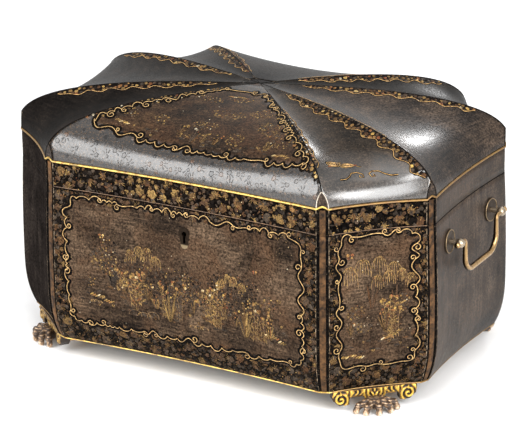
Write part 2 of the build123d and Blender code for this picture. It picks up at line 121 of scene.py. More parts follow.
def stripMiddle(corner, offset):
    along = sideDirection(corner) - sideDirection(corner - 1)
    return cornerAt(corner) + along * (box["cornerCut"] / 2) + stripNormal(corner) * offset


def sideArc(side, offset):
    # middle of the chord, half its length and the radius of the hollow
    first = sharpCorner(side, offset)
    last = sharpCorner(side + 1, offset)
    half = np.linalg.norm(last - first) / 2
    hollow = hollowOf(side)
    return (first + last) / 2, half, (half ** 2 + hollow ** 2) / (2 * hollow)


def arcLimit(side, corner, offset):
    # how far along the side, from its middle, the strip of one corner cuts the arc
    middle, half, radius = sideArc(side, offset)
    centre = middle + sideNormal(side) * (radius - hollowOf(side))
    start = stripMiddle(corner, offset)
    direction = stripDirection(corner)
    reach = start - centre
    halfSum = reach @ direction
    root = math.sqrt(halfSum ** 2 - reach @ reach + radius ** 2)
    step = min(root - halfSum, -root - halfSum, key=abs)
    return float((start + direction * step - middle) @ sideDirection(side))


def wallOffset(height):
    above = height - box["footHeight"]
    if above > box["bulgeHeight"]:
        share = (above - box["bulgeHeight"]) / (box["bodyHeight"] - box["bulgeHeight"])
        return box["bulge"] * (1 - share ** 2)
    share = 1 - above / box["bulgeHeight"]
    return box["bulge"] - (box["bulge"] + box["tuck"]) * share ** 3


def limitTable(lowest, highest, limitsAt, count=160):
    # both edges of a surface against the way up, read off a table
    ups = np.linspace(lowest, highest, count)
    pairs = np.array([limitsAt(up) for up in ups])

    def limits(up):
        return float(np.interp(up, ups, pairs[:, 0])), float(np.interp(up, ups, pairs[:, 1]))
    return limits


def wallPoint(side, offset, across, up):
    # the outside of one upright board: across runs along the side, up is the height
    middle, half, radius = sideArc(side, offset)
    run = np.asarray(across, float)[..., None]
    depth = hollowOf(side) - radius + np.sqrt(radius ** 2 - run ** 2)
    flat = middle + sideDirection(side) * run - sideNormal(side) * depth
    return np.concatenate((flat, np.full(flat.shape[:-1] + (1,), up)), axis=-1)


def wallPlace(side, offsetAt):
    def place(across, up):
        return wallPoint(side, offsetAt(up), across, up)

    def limitsAt(up):
        offset = offsetAt(up)
        return arcLimit(side, side, offset), arcLimit(side, side + 1, offset)

    return place, limitTable(box["footHeight"], rimTop, limitsAt)


def domeShares(angle):
    # how far out and how far up the dome an angle lies, as shares of the whole
    power = 2 / box["domePower"]
    return math.cos(angle) ** power, math.sin(angle) ** power


def goreSection(side, angle):
    # both ends on the ridges, the way the section faces, and its sag
    reach, lift = domeShares(angle)
    normal = sideNormal(side)
    distance = float(cornerAt(side) @ normal)
    out = reach ** (box["domePower"] - 1) / distance
    rise = lift ** (box["domePower"] - 1) / box["domeRise"]
    length = math.hypot(out, rise)
    facing = np.array((normal[0] * out / length, normal[1] * out / length, rise / length))
    height = domeBase + box["domeRise"] * lift
    first = np.append(cornerAt(side) * reach, height)
    last = np.append(cornerAt(side + 1) * reach, height)
    spread = (reach - box["crownShare"]) / (1 - box["crownShare"])
    sag = box["crownSag"] + spread * (hollowOf(side) * (1 - lift) + box["domeSag"] * lift)
    return first, last, facing, sag


def gorePoint(section, across):
    first, last, facing, sag = section
    half = np.linalg.norm(last - first) / 2
    radius = (half ** 2 + sag ** 2) / (2 * sag)
    held = np.clip(np.asarray(across, float), -half, half)[..., None]
    depth = sag - radius + np.sqrt(radius ** 2 - held ** 2)
    return (first + last) / 2 + unit(last - first) * held - facing * depth


def crownAngle():
    return math.pi / 2 - math.asin(box["crownShare"] ** (box["domePower"] / 2))


def goreTable(side, steps=240):
    # slope length up the middle of a gore against its angle
    angles = [crownAngle() * (step / steps) ** 1.4 for step in range(steps + 1)]
    points = [gorePoint(goreSection(side, angle), 0) for angle in angles]
    lengths = [0.0]
    for before, after in zip(points, points[1:]):
        lengths.append(lengths[-1] + float(np.linalg.norm(after - before)))
    return angles, lengths


def gorePlace(side):
    angles, lengths = goreTable(side)

    def section(up):
        return goreSection(side, float(np.interp(up, lengths, angles)))

    def place(across, up):
        return gorePoint(section(up), across)

    def cut(part, half, corner, sign):
        normal = stripNormal(corner)
        edge = stripMiddle(corner, 0) @ normal
        low, high = half - 3 * box["cornerCut"], half
        if gorePoint(part, sign * high)[:2] @ normal <= edge:
            return half
        for halving in range(24):
            middle = (low + high) / 2
            if gorePoint(part, sign * middle)[:2] @ normal > edge:
                high = middle
            else:
                low = middle
        return low

    def limitsAt(up):
        part = section(up)
        half = float(np.linalg.norm(part[1] - part[0]) / 2)
        return -cut(part, half, side, -1), cut(part, half, side + 1, 1)

    return place, limitTable(0.0, lengths[-1], limitsAt, 320), lengths[-1]


def normalAt(place, across, up, step=0.2 * mm):
    alongWay = place(across + step, up) - place(across - step, up)
    upWay = place(across, up + step) - place(across, up - step)
    facing = np.cross(alongWay, upWay)
    return facing / np.maximum(np.linalg.norm(facing, axis=-1, keepdims=True), 1e-15)


def surfaceAxes(place, across, up, step):
    # along the surface, up it and out of it
    normal = normalAt(place, across, up)
    along = unit(place(across + step, up) - place(across - step, up))
    return along, np.cross(normal, along), normal


# mesh helpers
def placed(name, data):
    made = bpy.data.objects.new(name, data)
    bpy.context.scene.collection.objects.link(made)
    return made


def newObject(name, vertices, faces, material=None, smooth=True):
    mesh = bpy.data.meshes.new(name)
    mesh.from_pydata([tuple(map(float, v)) for v in vertices], [], faces)
    mesh.update()
    mesh.polygons.foreach_set("use_smooth", [smooth] * len(mesh.polygons))
    if material:
        mesh.materials.append(material)
    return placed(name, mesh)


def weldedCopy(name, node):
    # a CAD node's mesh with its loose triangles joined
    made = placed(name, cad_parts[node].data.copy())
    welded = bmesh.new()
    welded.from_mesh(made.data)
    bmesh.ops.remove_doubles(welded, verts=welded.verts, dist=1e-6)
    welded.to_mesh(made.data)
    welded.free()
    return made


def applyModifiers(made):
    bpy.context.view_layer.update()
    mesh = bpy.data.meshes.new_from_object(made.evaluated_get(bpy.context.evaluated_depsgraph_get()))
    made.modifiers.clear()
    made.data = mesh


def meshPoints(made):
    # the places and normals of all the vertices
    count = len(made.data.vertices)
    spots, facings = np.zeros(count * 3), np.zeros(count * 3)
    made.data.vertices.foreach_get("co", spots)
    made.data.vertices.foreach_get("normal", facings)
    return spots.reshape(-1, 3), facings.reshape(-1, 3)


def movePoints(made, spots):
    made.data.vertices.foreach_set("co", spots.ravel())
    made.data.update()


def shadeSmooth(made):
    made.data.polygons.foreach_set("use_smooth", [True] * len(made.data.polygons))


def gridShell(name, rows, normals, lift, thickness, material):
    # a closed skin over a grid of points, with its face lifted and its back sunk
    rowCount, columnCount = len(rows), len(rows[0])
    points = np.array(rows).reshape(-1, 3)
    facings = np.array(normals).reshape(-1, 3)
    outer = points + facings * lift
    inner = points - facings * (thickness - lift)
    total = rowCount * columnCount
    faces = []
    for row in range(rowCount - 1):
        for column in range(columnCount - 1):
            first = row * columnCount + column
            above = first + columnCount
            faces.append((first, first + 1, above + 1, above))
            faces.append((total + first, total + above, total + above + 1, total + first + 1))
    around = list(range(columnCount))
    around += [row * columnCount + columnCount - 1 for row in range(1, rowCount)]
    around += [(rowCount - 1) * columnCount + column for column in range(columnCount - 2, -1, -1)]
    around += [row * columnCount for row in range(rowCount - 2, 0, -1)]
    for here, following in zip(around, around[1:] + around[:1]):
        faces.append((here, total + here, total + following, following))
    return newObject(name, np.vstack((outer, inner)), faces, material)


def floatAttribute(made, name, values):
    layer = made.data.attributes.new(name, "FLOAT", "POINT")
    layer.data.foreach_set("value", values)


def attach(piece, body, slot, *nodes):
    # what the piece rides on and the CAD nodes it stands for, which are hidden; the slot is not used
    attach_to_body(piece, body)
    for node in nodes:
        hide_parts(node)
    return piece


# materials
def materialNodes(name):
    material = bpy.data.materials.new(name)
    material.use_nodes = True
    tree = material.node_tree
    shader = tree.nodes["Principled BSDF"]
    return material, tree, shader


def setInputs(tree, node, inputs):
    # links what comes from another node and sets the rest on the socket itself
    for key, value in inputs.items():
        if isinstance(value, bpy.types.NodeSocket):
            tree.links.new(value, node.inputs[key])
        else:
            node.inputs[key].default_value = value


def addNode(tree, kind, inputs=None, **settings):
    node = tree.nodes.new(kind)
    for key, value in settings.items():
        setattr(node, key, value)
    setInputs(tree, node, inputs or {})
    return node


def painted(tree, name):
    # a value stored on the mesh
    return addNode(tree, "ShaderNodeAttribute", attribute_name=name).outputs["Fac"]


def axisOf(tree, place, axis):
    return addNode(tree, "ShaderNodeSeparateXYZ", {"Vector": place}).outputs[axis]


def colour(red, green, blue):
    # an eye's 0 to 255 colour, made linear
    parts = [((part / 255 + 0.055) / 1.055) ** 2.4 if part > 10 else part / 255 / 12.92
             for part in (red, green, blue)]
    return (*parts, 1.0)


def ramp(tree, factor, stops, interpolation="LINEAR"):
    node = addNode(tree, "ShaderNodeValToRGB", {"Fac": factor})
    node.color_ramp.interpolation = interpolation
    band = node.color_ramp.elements
    while len(band) < len(stops):
        band.new(0.5)
    for element, (position, value) in zip(band, stops):
        element.position = position
        element.color = value if isinstance(value, tuple) else (value, value, value, 1)
    return node.outputs["Color"]


def mixColour(tree, factor, first, second, blend="MIX"):
    # the colour sockets of this node are told apart by their numbers
    return addNode(tree, "ShaderNodeMix", {0: factor, 6: first, 7: second}, data_type="RGBA",
                   blend_type=blend).outputs[2]


def mathNode(tree, operation, first, second=0.0):
    return addNode(tree, "ShaderNodeMath", {0: first, 1: second}, operation=operation).outputs[0]


def multiplyAdd(tree, value, factor, added):
    made = addNode(tree, "ShaderNodeMath", {0: value, 1: factor, 2: added}, operation="MULTIPLY_ADD")
    return made.outputs[0]


def noise(tree, vector, scale, detail=4.0, roughness=0.55, distortion=0.0):
    return addNode(tree, "ShaderNodeTexNoise", {
        "Vector": vector, "Scale": scale, "Detail": detail, "Roughness": roughness,
        "Distortion": distortion}).outputs["Fac"]


def objectPlace(tree, scale=(1, 1, 1), shift=(0, 0, 0)):
    where = addNode(tree, "ShaderNodeTexCoord").outputs["Object"]
    if scale == (1, 1, 1) and shift == (0, 0, 0):
        return where
    node = addNode(tree, "ShaderNodeMapping", {"Vector": where, "Scale": scale, "Location": shift})
    return node.outputs["Vector"]


def ranged(tree, value, low, high, toLow, toHigh):
    return addNode(tree, "ShaderNodeMapRange", {
        "Value": value, "From Min": low, "From Max": high, "To Min": toLow,
        "To Max": toHigh}).outputs["Result"]


def bumpOf(tree, height, distance, strength=1.0):
    node = addNode(tree, "ShaderNodeBump", {"Height": height, "Distance": distance, "Strength": strength})
    return node.outputs["Normal"]


# sizes of the noises in the lacquers, as repeats over a metre
lacquerGrain = {
    "clouds": 24.0,
    "patches": 30.0,
    "grain": 560.0,
    "flecks": 760.0,
    "pits": 520.0,
    "dust": 620.0,
    "tears": 260.0,
    "waves": 75.0,
    "wornWidth": 2.4 * mm,
    "fieldEdge": 0.4 * mm,
    "polishEdge": 3 * mm,
    "polishFrom": 196 * mm,
    "polishTo": 205 * mm,
    "dustTone": (92, 70, 46),
    "tornTone": (168, 148, 124),
}


def lacquer(name, dark, middle, light, gloss=0.3, shine=0.2, grit=1.0, fleck=(150, 130, 108), flecks=0.6,
            warm=None, wearEdge=False, ground=None, ripple=0.12, rub=(50, 50, 760), polished=None,
            waviness=0.45 * mm):
    # old lacquer: clouded, rubbed along the grain, gritty, flecked and worn at its edges
    size = lacquerGrain
    material, tree, shader = materialNodes(name)
    dark, middle, light, fleck = (colour(*tone) for tone in (dark, middle, light, fleck))
    place = objectPlace(tree)
    clouds = noise(tree, place, size["clouds"], 6.0, 0.62, 0.4)
    rubbed = noise(tree, objectPlace(tree, rub), 1.0, 5.0, 0.62)
    grain = noise(tree, place, size["grain"], 4.0, 0.68)
    mixed = multiplyAdd(tree, clouds, 0.6, mathNode(tree, "MULTIPLY", rubbed, 0.4))
    base = ramp(tree, mixed, [(0.38, dark), (0.5, middle), (0.64, light)])
    if warm:
        patches = ranged(tree, noise(tree, place, size["patches"], 5.0, 0.6, 0.8), 0.46, 0.68, 0.0, 0.9)
        base = mixColour(tree, patches, base, colour(*warm))
    depth = ranged(tree, grain, 0.36, 0.64, 1 - 0.75 * grit, 1 + 0.75 * grit)
    base = mixColour(tree, 1.0, base, depth, "MULTIPLY")
    paleGrain = noise(tree, objectPlace(tree, shift=(0.3, 0.7, 0.1)), size["flecks"], 3.0, 0.6)
    base = mixColour(tree, ranged(tree, paleGrain, 0.60, 0.70, 0.0, flecks), base, fleck)
    pitGrain = noise(tree, objectPlace(tree, shift=(0.9, 0.2, 0.5)), size["pits"], 4.0, 0.7)
    base = mixColour(tree, ranged(tree, pitGrain, 0.33, 0.41, 0.9, 0.0), base, dark)
    if ground:
        inset = painted(tree, "inset")
        inside = ranged(tree, inset, -size["fieldEdge"], size["fieldEdge"], 0.0, 1.0)
        dust = ramp(tree, noise(tree, place, size["dust"], 4.0, 0.7),
                    [(0.52, colour(*ground)), (0.72, colour(*size["dustTone"]))])
        base = mixColour(tree, inside, dust, base)
    if wearEdge:
        close = ranged(tree, painted(tree, "edge"), 0.0, size["wornWidth"], 1.0, 0.0)
        torn = mathNode(tree, "MULTIPLY", close, noise(tree, place, size["tears"], 5.0, 0.7))
        base = mixColour(tree, ranged(tree, torn, 0.42, 0.54, 0.0, 0.8), base, colour(*size["tornTone"]))
    ripples = mathNode(tree, "MULTIPLY", grain, ripple)
    waves = multiplyAdd(tree, noise(tree, place, size["waves"], 3.0), 1.0, ripples)
    setInputs(tree, shader, {
        "Base Color": base, "Roughness": ranged(tree, grain, 0.3, 0.7, gloss - 0.08, gloss + 0.14),
        "Normal": bumpOf(tree, waves, waviness, 0.6), "Specular IOR Level": shine})
    if polished and ground:
        # polished outside the reserve
        edge = size["polishEdge"]
        setInputs(tree, shader, {"Specular IOR Level": ranged(tree, inset, -edge, edge, polished, shine)})
    elif polished:
        # polished on the lower part of the dome
        up = axisOf(tree, place, "Z")
        setInputs(tree, shader, {
            "Specular IOR Level": ranged(tree, up, size["polishFrom"], size["polishTo"], polished, shine)})
    return material


def gilding(name, tone, shade, metal=0.75, rough=0.34, scale=420.0, worn=0.35, under=(58, 40, 26), dull=None,
            shine=0.5):
    # gilt or coloured lines, worn through to what lies under them
    material, tree, shader = materialNodes(name)
    place = objectPlace(tree)
    mottle = noise(tree, place, scale, 5.0, 0.65)
    base = ramp(tree, mottle, [(0.34, colour(*shade)), (0.58, colour(*tone))])
    missing = ramp(tree, noise(tree, place, scale * 0.35, 6.0, 0.7), [(0.62 - worn * 0.4, 0.0), (0.72, 1.0)])
    base = mixColour(tree, missing, base, colour(*under))
    if dull:
        # duller gold past the front corners
        out, corner = mathNode(tree, "ABSOLUTE", axisOf(tree, place, "X")), box["frontCornerX"]
        past = ranged(tree, out, corner + 1 * mm, corner + 7 * mm, 0.0, 0.8)
        base = mixColour(tree, past, base, colour(*dull))
    setInputs(tree, shader, {
        "Base Color": base,
        "Metallic": mathNode(tree, "MULTIPLY", mathNode(tree, "SUBTRACT", 1.0, missing), metal),
        "Roughness": ramp(tree, mottle, [(0.3, rough - 0.08), (0.7, rough + 0.14)]),
        "Normal": bumpOf(tree, noise(tree, place, scale * 2.2, 4.0), 0.25 * mm, 0.5),
        "Specular IOR Level": shine})
    return material


# tones of the painted leaves against their tint, from black to pale gold
leafTones = ((0.0, (9, 7, 6)), (0.15, (54, 47, 41)), (0.32, (84, 73, 62)), (0.5, (88, 62, 42)),
             (0.64, (122, 97, 62)), (0.78, (166, 134, 82)), (0.87, (134, 78, 54)), (0.94, (200, 164, 92)),
             (1.0, (214, 200, 172)))


def paintedGold(name, shine=0.12, rough=0.42, ripple=0.2 * mm):
    # gilt and coloured leaves in one finish, by each leaf's own tint
    material, tree, shader = materialNodes(name)
    place = objectPlace(tree)
    tint = painted(tree, "tint")
    base = ramp(tree, tint, [(position, colour(*tone)) for position, tone in leafTones])
    rubbed = ramp(tree, noise(tree, place, 380.0, 6.0, 0.7), [(0.34, 1.0), (0.50, 0.0)])
    base = mixColour(tree, mathNode(tree, "MULTIPLY", rubbed, 0.8), base, colour(16, 12, 10))
    veins = ramp(tree, noise(tree, place, 1400.0, 3.0, 0.7), [(0.43, 0.75), (0.56, 0.0)])
    base = mixColour(tree, veins, base, colour(18, 13, 10))
    setInputs(tree, shader, {
        "Base Color": base, "Metallic": ramp(tree, tint, [(0.5, 0.05), (0.8, 0.45)]), "Roughness": rough,
        "Specular IOR Level": shine,
        "Normal": bumpOf(tree, noise(tree, place, 1100.0, 4.0), ripple, 0.5)})
    return material


def carvedGilding(name, bright, tone, deep):
    # gilt on carving, by its relief value: bright on what stands up, partly a painted highlight, and dark in
    # what lies deep, partly dust and partly painted shade
    material, tree, shader = materialNodes(name)
    mottle = noise(tree, objectPlace(tree), 520.0, 5.0, 0.7)
    stray = mathNode(tree, "MULTIPLY", mathNode(tree, "SUBTRACT", mottle, 0.5), 1.1)
    height = mathNode(tree, "ADD", painted(tree, "relief"), stray)
    stops = [(0.30, colour(*deep)), (0.50, colour(*tone)), (0.86, colour(*bright))]
    setInputs(tree, shader, {
        "Base Color": ramp(tree, height, stops),
        "Metallic": ranged(tree, height, 0.35, 0.7, 0.0, 0.5),
        "Roughness": ranged(tree, height, 0.2, 0.8, 0.6, 0.3),
        "Normal": bumpOf(tree, mottle, 0.4 * mm, 0.6)})
    return material


def metalFinish(name, tone, tarnish, rough, scale=160.0, amount=0.5, tarnishAndShade=None, low=None):
    material, tree, shader = materialNodes(name)
    place = objectPlace(tree)
    stain = noise(tree, place, scale, 6.0, 0.65, 0.3)
    base = ramp(tree, stain, [(0.62 - amount * 0.3, colour(*tone)), (0.74, colour(*tarnish))])
    if tarnishAndShade:
        # polished where hands reach, and dark beneath, partly tarnish and partly painted shade
        share = multiplyAdd(tree, stain, 0.7, painted(tree, "polish_and_light"))
        base = mixColour(tree, ranged(tree, share, 0.8, 1.15, 1.0, 0.0), base, colour(*tarnishAndShade))
    if low:
        # a brighter band below one height
        height, worn = low
        below = ranged(tree, axisOf(tree, place, "Z"), height, height + 1.2 * mm, 1.0, 0.0)
        base = mixColour(tree, below, base, colour(*worn))
    setInputs(tree, shader, {
        "Base Color": base, "Metallic": 1.0,
        "Roughness": ramp(tree, stain, [(0.3, rough), (0.75, rough + 0.25)]),
        "Normal": bumpOf(tree, noise(tree, place, scale * 7, 4.0), 0.12 * mm, 0.4)})
    return material


frontLidLacquer = lacquer("frontLidLacquer", (16, 12, 8), (40, 28, 19), (68, 51, 34), 0.2, 0.1,
                          0.9, (112, 92, 68), 0.4, warm=(60, 40, 26), wearEdge=True,
                          ground=(30, 27, 25), ripple=0.08, polished=0.7, waviness=0.08 * mm)
facetLidLacquer = lacquer("facetLidLacquer", (18, 15, 12), (36, 30, 24), (62, 52, 43), 0.2, 0.1,
                          0.8, (104, 88, 70), 0.4, warm=(52, 41, 31), wearEdge=True, ripple=0.08,
                          polished=1.1, waviness=0.08 * mm)
endLidLacquer = lacquer("endLidLacquer", (16, 13, 11), (38, 31, 26), (68, 56, 46), 0.22, 0.12,
                        1.0, (104, 88, 70), 0.4, wearEdge=True, ripple=0.1, waviness=0.14 * mm)
# a darker copy of the lid lacquer, painted shade on the front-left facet's gore
shadeLidLacquer = lacquer("shadeLidLacquer", (10, 8, 7), (20, 17, 15), (34, 29, 25), 0.4, 0.02,
                          0.8, (60, 50, 42), 0.4, wearEdge=True)
backLidLacquer = lacquer("backLidLacquer", (12, 10, 9), (25, 22, 19), (42, 36, 32), 0.3, 0.03,
                         0.7, (80, 68, 56), 0.4, wearEdge=True, ripple=0.1, waviness=0.14 * mm)
panelLacquer = lacquer("panelLacquer", (20, 15, 12), (52, 41, 32), (90, 73, 57), 0.45, 0.025,
                       1.0, (120, 100, 76), 0.5, warm=(68, 50, 36), wearEdge=True,
                       ground=(5, 4, 3))
borderLacquer = lacquer("borderLacquer", (4, 3, 3), (8, 6, 5), (24, 18, 13), 0.45, 0.01,
                        0.8, (100, 80, 56), 0.4, wearEdge=True)
endLacquer = lacquer("endLacquer", (22, 18, 15), (48, 40, 34), (72, 61, 52), 0.4, 0.1, 0.9,
                     (112, 98, 82), 0.5, warm=(58, 47, 39), wearEdge=True, rub=(260, 260, 22))
# a darker copy of the end lacquer, painted shade on the front-left facet's wall and rim
shadeLacquer = lacquer("shadeLacquer", (16, 14, 13), (32, 28, 26), (46, 41, 37), 0.5, 0.0,
                       0.8, (80, 70, 60), 0.4, wearEdge=True, rub=(260, 260, 22))
innerLacquer = lacquer("innerLacquer", (26, 19, 15), (44, 32, 25), (58, 42, 32), 0.42, 0.1, 0.4)
grooveLacquer = lacquer("grooveLacquer", (4, 3, 3), (8, 6, 5), (18, 14, 12), 0.5, 0.02, 0.5,
                        flecks=0.25)
goldLine = gilding("goldLine", (214, 172, 108), (126, 86, 46), 0.35, 0.4, 500.0, 0.3)
darkLine = gilding("darkLine", (6, 5, 4), (3, 3, 2), 0.0, 0.5, 500.0, 0.1, (22, 16, 11),
                   shine=0.02)
scrollGold = gilding("scrollGold", (204, 168, 108), (120, 86, 48), 0.3, 0.42, 500.0, 0.35)
paleRimEdge = gilding("paleRimEdge", (124, 94, 66), (58, 42, 30), 0.1, 0.5, 300.0, 0.4)
dullLine = gilding("dullLine", (172, 136, 84), (98, 70, 42), 0.25, 0.45, 500.0, 0.4)
beadGold = gilding("beadGold", (214, 182, 94), (140, 100, 44), 0.45, 0.34, 240.0, 0.3,
                   dull=(104, 72, 38))
ridgeLacquer = gilding("ridgeLacquer", (10, 8, 6), (5, 4, 3), 0.0, 0.5, 240.0, 0.05,
                       (72, 52, 34), shine=0.04)
wornGesso = gilding("wornGesso", (196, 186, 170), (128, 116, 102), 0.0, 0.5, 400.0, 0.3,
                    (60, 48, 38))
stripGold = gilding("stripGold", (112, 80, 50), (30, 22, 16), 0.1, 0.5, 230.0, 0.7,
                    (12, 9, 7), shine=0.12)
# dark wood for the blocks behind the feet, kept dark also to stand in for the shade seen through the aprons'
# openings, a painted shade
shadowDarkWood = lacquer("shadowDarkWood", (28, 20, 14), (46, 34, 24), (60, 45, 32), 0.6, 0.1, 0.6)
handleBrass = metalFinish("handleBrass", (176, 144, 100), (92, 70, 48), 0.2, tarnishAndShade=(44, 32, 22))
plateBrass = metalFinish("plateBrass", (72, 61, 51), (44, 36, 30), 0.42)
rimBrass = metalFinish("rimBrass", (142, 122, 94), (60, 48, 38), 0.34, 300.0)
paleBrass = metalFinish("paleBrass", (170, 156, 136), (88, 74, 60), 0.26, 260.0)
keyholeBrass = metalFinish("keyholeBrass", (40, 32, 25), (20, 16, 13), 0.45, 300.0,
                           low=(122.8 * mm, (128, 112, 88)))
lockBrass = metalFinish("lockBrass", (190, 150, 92), (110, 80, 48), 0.32)
carvedGold = carvedGilding("carvedGold", (216, 178, 78), (140, 102, 36), (16, 10, 5))
# a darker copy of the carved gilt, painted shade on the aprons other than the front-right one
shadedCarvedGold = carvedGilding("shadedCarvedGold", (150, 120, 66), (92, 66, 34), (36, 24, 14))
clawGold = carvedGilding("clawGold", (236, 220, 196), (156, 124, 92), (52, 36, 24))
leafGold = paintedGold("leafGold", 0.02)
lidLeaf = paintedGold("lidLeaf", 0.62, 0.22, 0.01 * mm)
sceneGold = paintedGold("sceneGold", 0.03)
print("finishes made")

# CAD nodes and their finishes
nodeFinishes = (("gore", innerLacquer), ("lid_rim", grooveLacquer), ("wall", grooveLacquer),
                ("posts", grooveLacquer), ("bead", beadGold), ("apron", carvedGold), ("claw", clawGold),
                ("foot_blocks", shadowDarkWood), ("base_board", innerLacquer), ("crown_piece", endLidLacquer),
                ("hinge", lockBrass), ("lock", lockBrass), ("staple", lockBrass), ("insert", keyholeBrass),
                ("handle_plates", plateBrass), ("handle_posts", paleBrass), ("nuts", lockBrass),
                ("bail", handleBrass))
for nodeName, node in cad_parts.items():
    finish = next(material for key, material in reversed(nodeFinishes) if key in nodeName)
    node.data.materials.clear()
    node.data.materials.append(finish)

# lacquer skins over the boards
skin = {
    "lift": 0.15 * mm,
    "taper": 6 * mm,
    "thickness": 0.5 * mm,
    "columns": 64,
    "bodyRows": 36,
    "rimRows": 4,
    "goreRows": 44,
    "seamMargin": 0.45 * mm,
    "beadMargin": 0.05 * mm,
}


def liftAt(gap):
    # how far the skin stands proud, less and less towards its edges
    return skin["lift"] * np.clip(np.asarray(gap) / skin["taper"], 0.1, 1.0)


def surfaceSkin(name, place, limits, ups, material, body, slot, field=None, board=None):
    rows, normals, edges, insets = [], [], [], []
    for up in ups:
        low, high = limits(up)
        across = np.linspace(low, high, skin["columns"] + 1)
        held = min(max(up, ups[0] + 0.3 * mm), ups[-1] - 0.3 * mm)
        rows.append(place(across, up))
        normals.append(normalAt(place, across * 0.998, held))
        edges += list(np.minimum(across - low, high - across))
        if field is not None:
            insets += [fieldDistance(field, run, up) for run in across]
    lift = 0.0 if board else liftAt(edges)[:, None]
    made = gridShell(name, rows, normals, lift, board or skin["thickness"], material)
    if board:
        # the inside of a board has its own lacquer
        made.data.materials.append(innerLacquer)
        shellFaces = 2 * (len(rows) - 1) * skin["columns"]
        indices = [int(index < shellFaces and index % 2 == 1) for index in range(len(made.data.polygons))]
        made.data.polygons.foreach_set("material_index", indices)
    floatAttribute(made, "edge", edges * 2)
    if field is not None:
        floatAttribute(made, "inset", insets * 2)
    return attach(made, body, slot)


def spaced(low, high, count, power=1.0):
    return [low + (high - low) * (step / count) ** power for step in range(count + 1)]


# Painted reserves: outlines in millimetres, across from the middle of the side and up
def roundedField(left, right, bottom, top, radius):
    points = []
    for centreX, centreY, start in ((right - radius, bottom + radius, -90), (right - radius, top - radius, 0),
                                    (left + radius, top - radius, 90), (left + radius, bottom + radius, 180)):
        for step in range(7):
            angle = math.radians(start + step * 15)
            points.append((centreX + radius * math.cos(angle), centreY + radius * math.sin(angle)))
    return np.array(points) * mm


def frontGoreField():
    right = [(96, 25), (104, 33), (104, 50), (96, 66), (82, 82), (66, 97), (50, 108), (36, 114)]
    left = [(-20, 118), (-40, 112), (-60, 102), (-78, 90), (-94, 72), (-104, 56), (-106, 42), (-98, 30)]
    points = np.array(right + [(16, 119)] + left) * mm
    for rounding in range(2):
        following = np.roll(points, -1, axis=0)
        points = np.stack((points * 0.75 + following * 0.25, points * 0.25 + following * 0.75), axis=1)
        points = points.reshape(-1, 2)
    limits = gorePlace(0)[1]
    kept = []
    for across, up in points:
        # clear of the ridges, with room for their leaves
        low, high = limits(up)
        clear = min(7.5 * mm, 0.28 * (high - low))
        kept.append((min(max(across, low + clear), high - clear), up))
    return np.array(kept)


fields = {
    ("body", 0): roundedField(-107, 106, 41.5, 147, 11),
    ("body", 1): roundedField(-31.5, 30, 41, 150, 7),
    ("gore", 0): frontGoreField(),
}


def fieldDistance(field, across, up):
    # more than nothing inside the reserve, less outside it
    point = np.array((across, up))
    following = np.roll(field, -1, axis=0)
    run = following - field
    share = np.clip(((point - field) * run).sum(1) / (run * run).sum(1), 0, 1)
    gap = np.linalg.norm(field + run * share[:, None] - point, axis=1).min()
    crosses = (field[:, 1] > up) != (following[:, 1] > up)
    rise = np.where(run[:, 1] == 0, 1e-12, run[:, 1])
    passes = across < field[:, 0] + (up - field[:, 1]) * run[:, 0] / rise
    inside = int(np.count_nonzero(crosses & passes)) % 2 == 1
    return float(gap if inside else -gap)


keyhole = {
    "drop": 24.5 * mm,
    "halfWide": 2.9 * mm,
    "halfTall": 6.6 * mm,
}


def pierceKeyhole(made):
    # an oval hole right through the front's skin
    cutter = bmesh.new()
    middle = Vector((0.0, -box["halfDepth"] + 5 * mm, seam - keyhole["drop"]))
    bmesh.ops.create_cone(cutter, cap_ends=True, segments=40, radius1=1, radius2=1, depth=1,
                          matrix=Matrix.Translation(middle)
                          @ Matrix.Diagonal(Vector((keyhole["halfWide"], 12 * mm, keyhole["halfTall"], 1)))
                          @ Matrix.Rotation(math.pi / 2, 4, "X"))
    mesh = bpy.data.meshes.new("cutter")
    cutter.to_mesh(mesh)
    cutter.free()
    tool = placed("cutter", mesh)
    cut = made.modifiers.new("cut", "BOOLEAN")
    cut.object, cut.operation, cut.solver = tool, "DIFFERENCE", "EXACT"
    applyModifiers(made)
    bpy.data.objects.remove(tool)
    bpy.data.meshes.remove(mesh)


surfaces = {}
# finishes in the order of the sides; the front-left facet's darker lacquers are painted shade
rimFinish = (borderLacquer,) * 2 + (endLacquer,) * 5 + (shadeLacquer,)
bodyFinish = (panelLacquer,) * 2 + (endLacquer,) * 5 + (shadeLacquer,)
goreFinish = (frontLidLacquer, facetLidLacquer, endLidLacquer) + (backLidLacquer,) * 4 + (shadeLidLacquer,)
for side, name in enumerate(sideNames):
    place, limits = wallPlace(side, wallOffset)
    surfaces["body", side] = (place, limits)
    ups = spaced(wallBottom + skin["beadMargin"], seam - skin["seamMargin"], skin["bodyRows"], 1.3)
    made = surfaceSkin(f"{name}_lacquer", place, limits, ups, bodyFinish[side], "case", "painted_lacquer",
                       fields.get(("body", side)))
    if side == 0:
        pierceKeyhole(made)
    place, limits = wallPlace(side, lambda up: 0.0)
    surfaces["rim", side] = (place, limits)
    ups = spaced(lidBottom + skin["seamMargin"], rimTop - skin["beadMargin"], skin["rimRows"])
    surfaceSkin(f"{name}_rim_lacquer", place, limits, ups, rimFinish[side], "lid", "border_lacquer")
    place, limits, slope = gorePlace(side)
    surfaces["gore", side] = (place, limits)
    surfaces["slope", side] = slope
    made = surfaceSkin(f"{name}_gore_board", place, limits, spaced(0.0, slope, skin["goreRows"], 1.25),
                       goreFinish[side], "lid", "lid_lacquer", fields.get(("gore", side)), box["gore"])
    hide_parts(f"{name}_gore")
print("lacquer skins made")

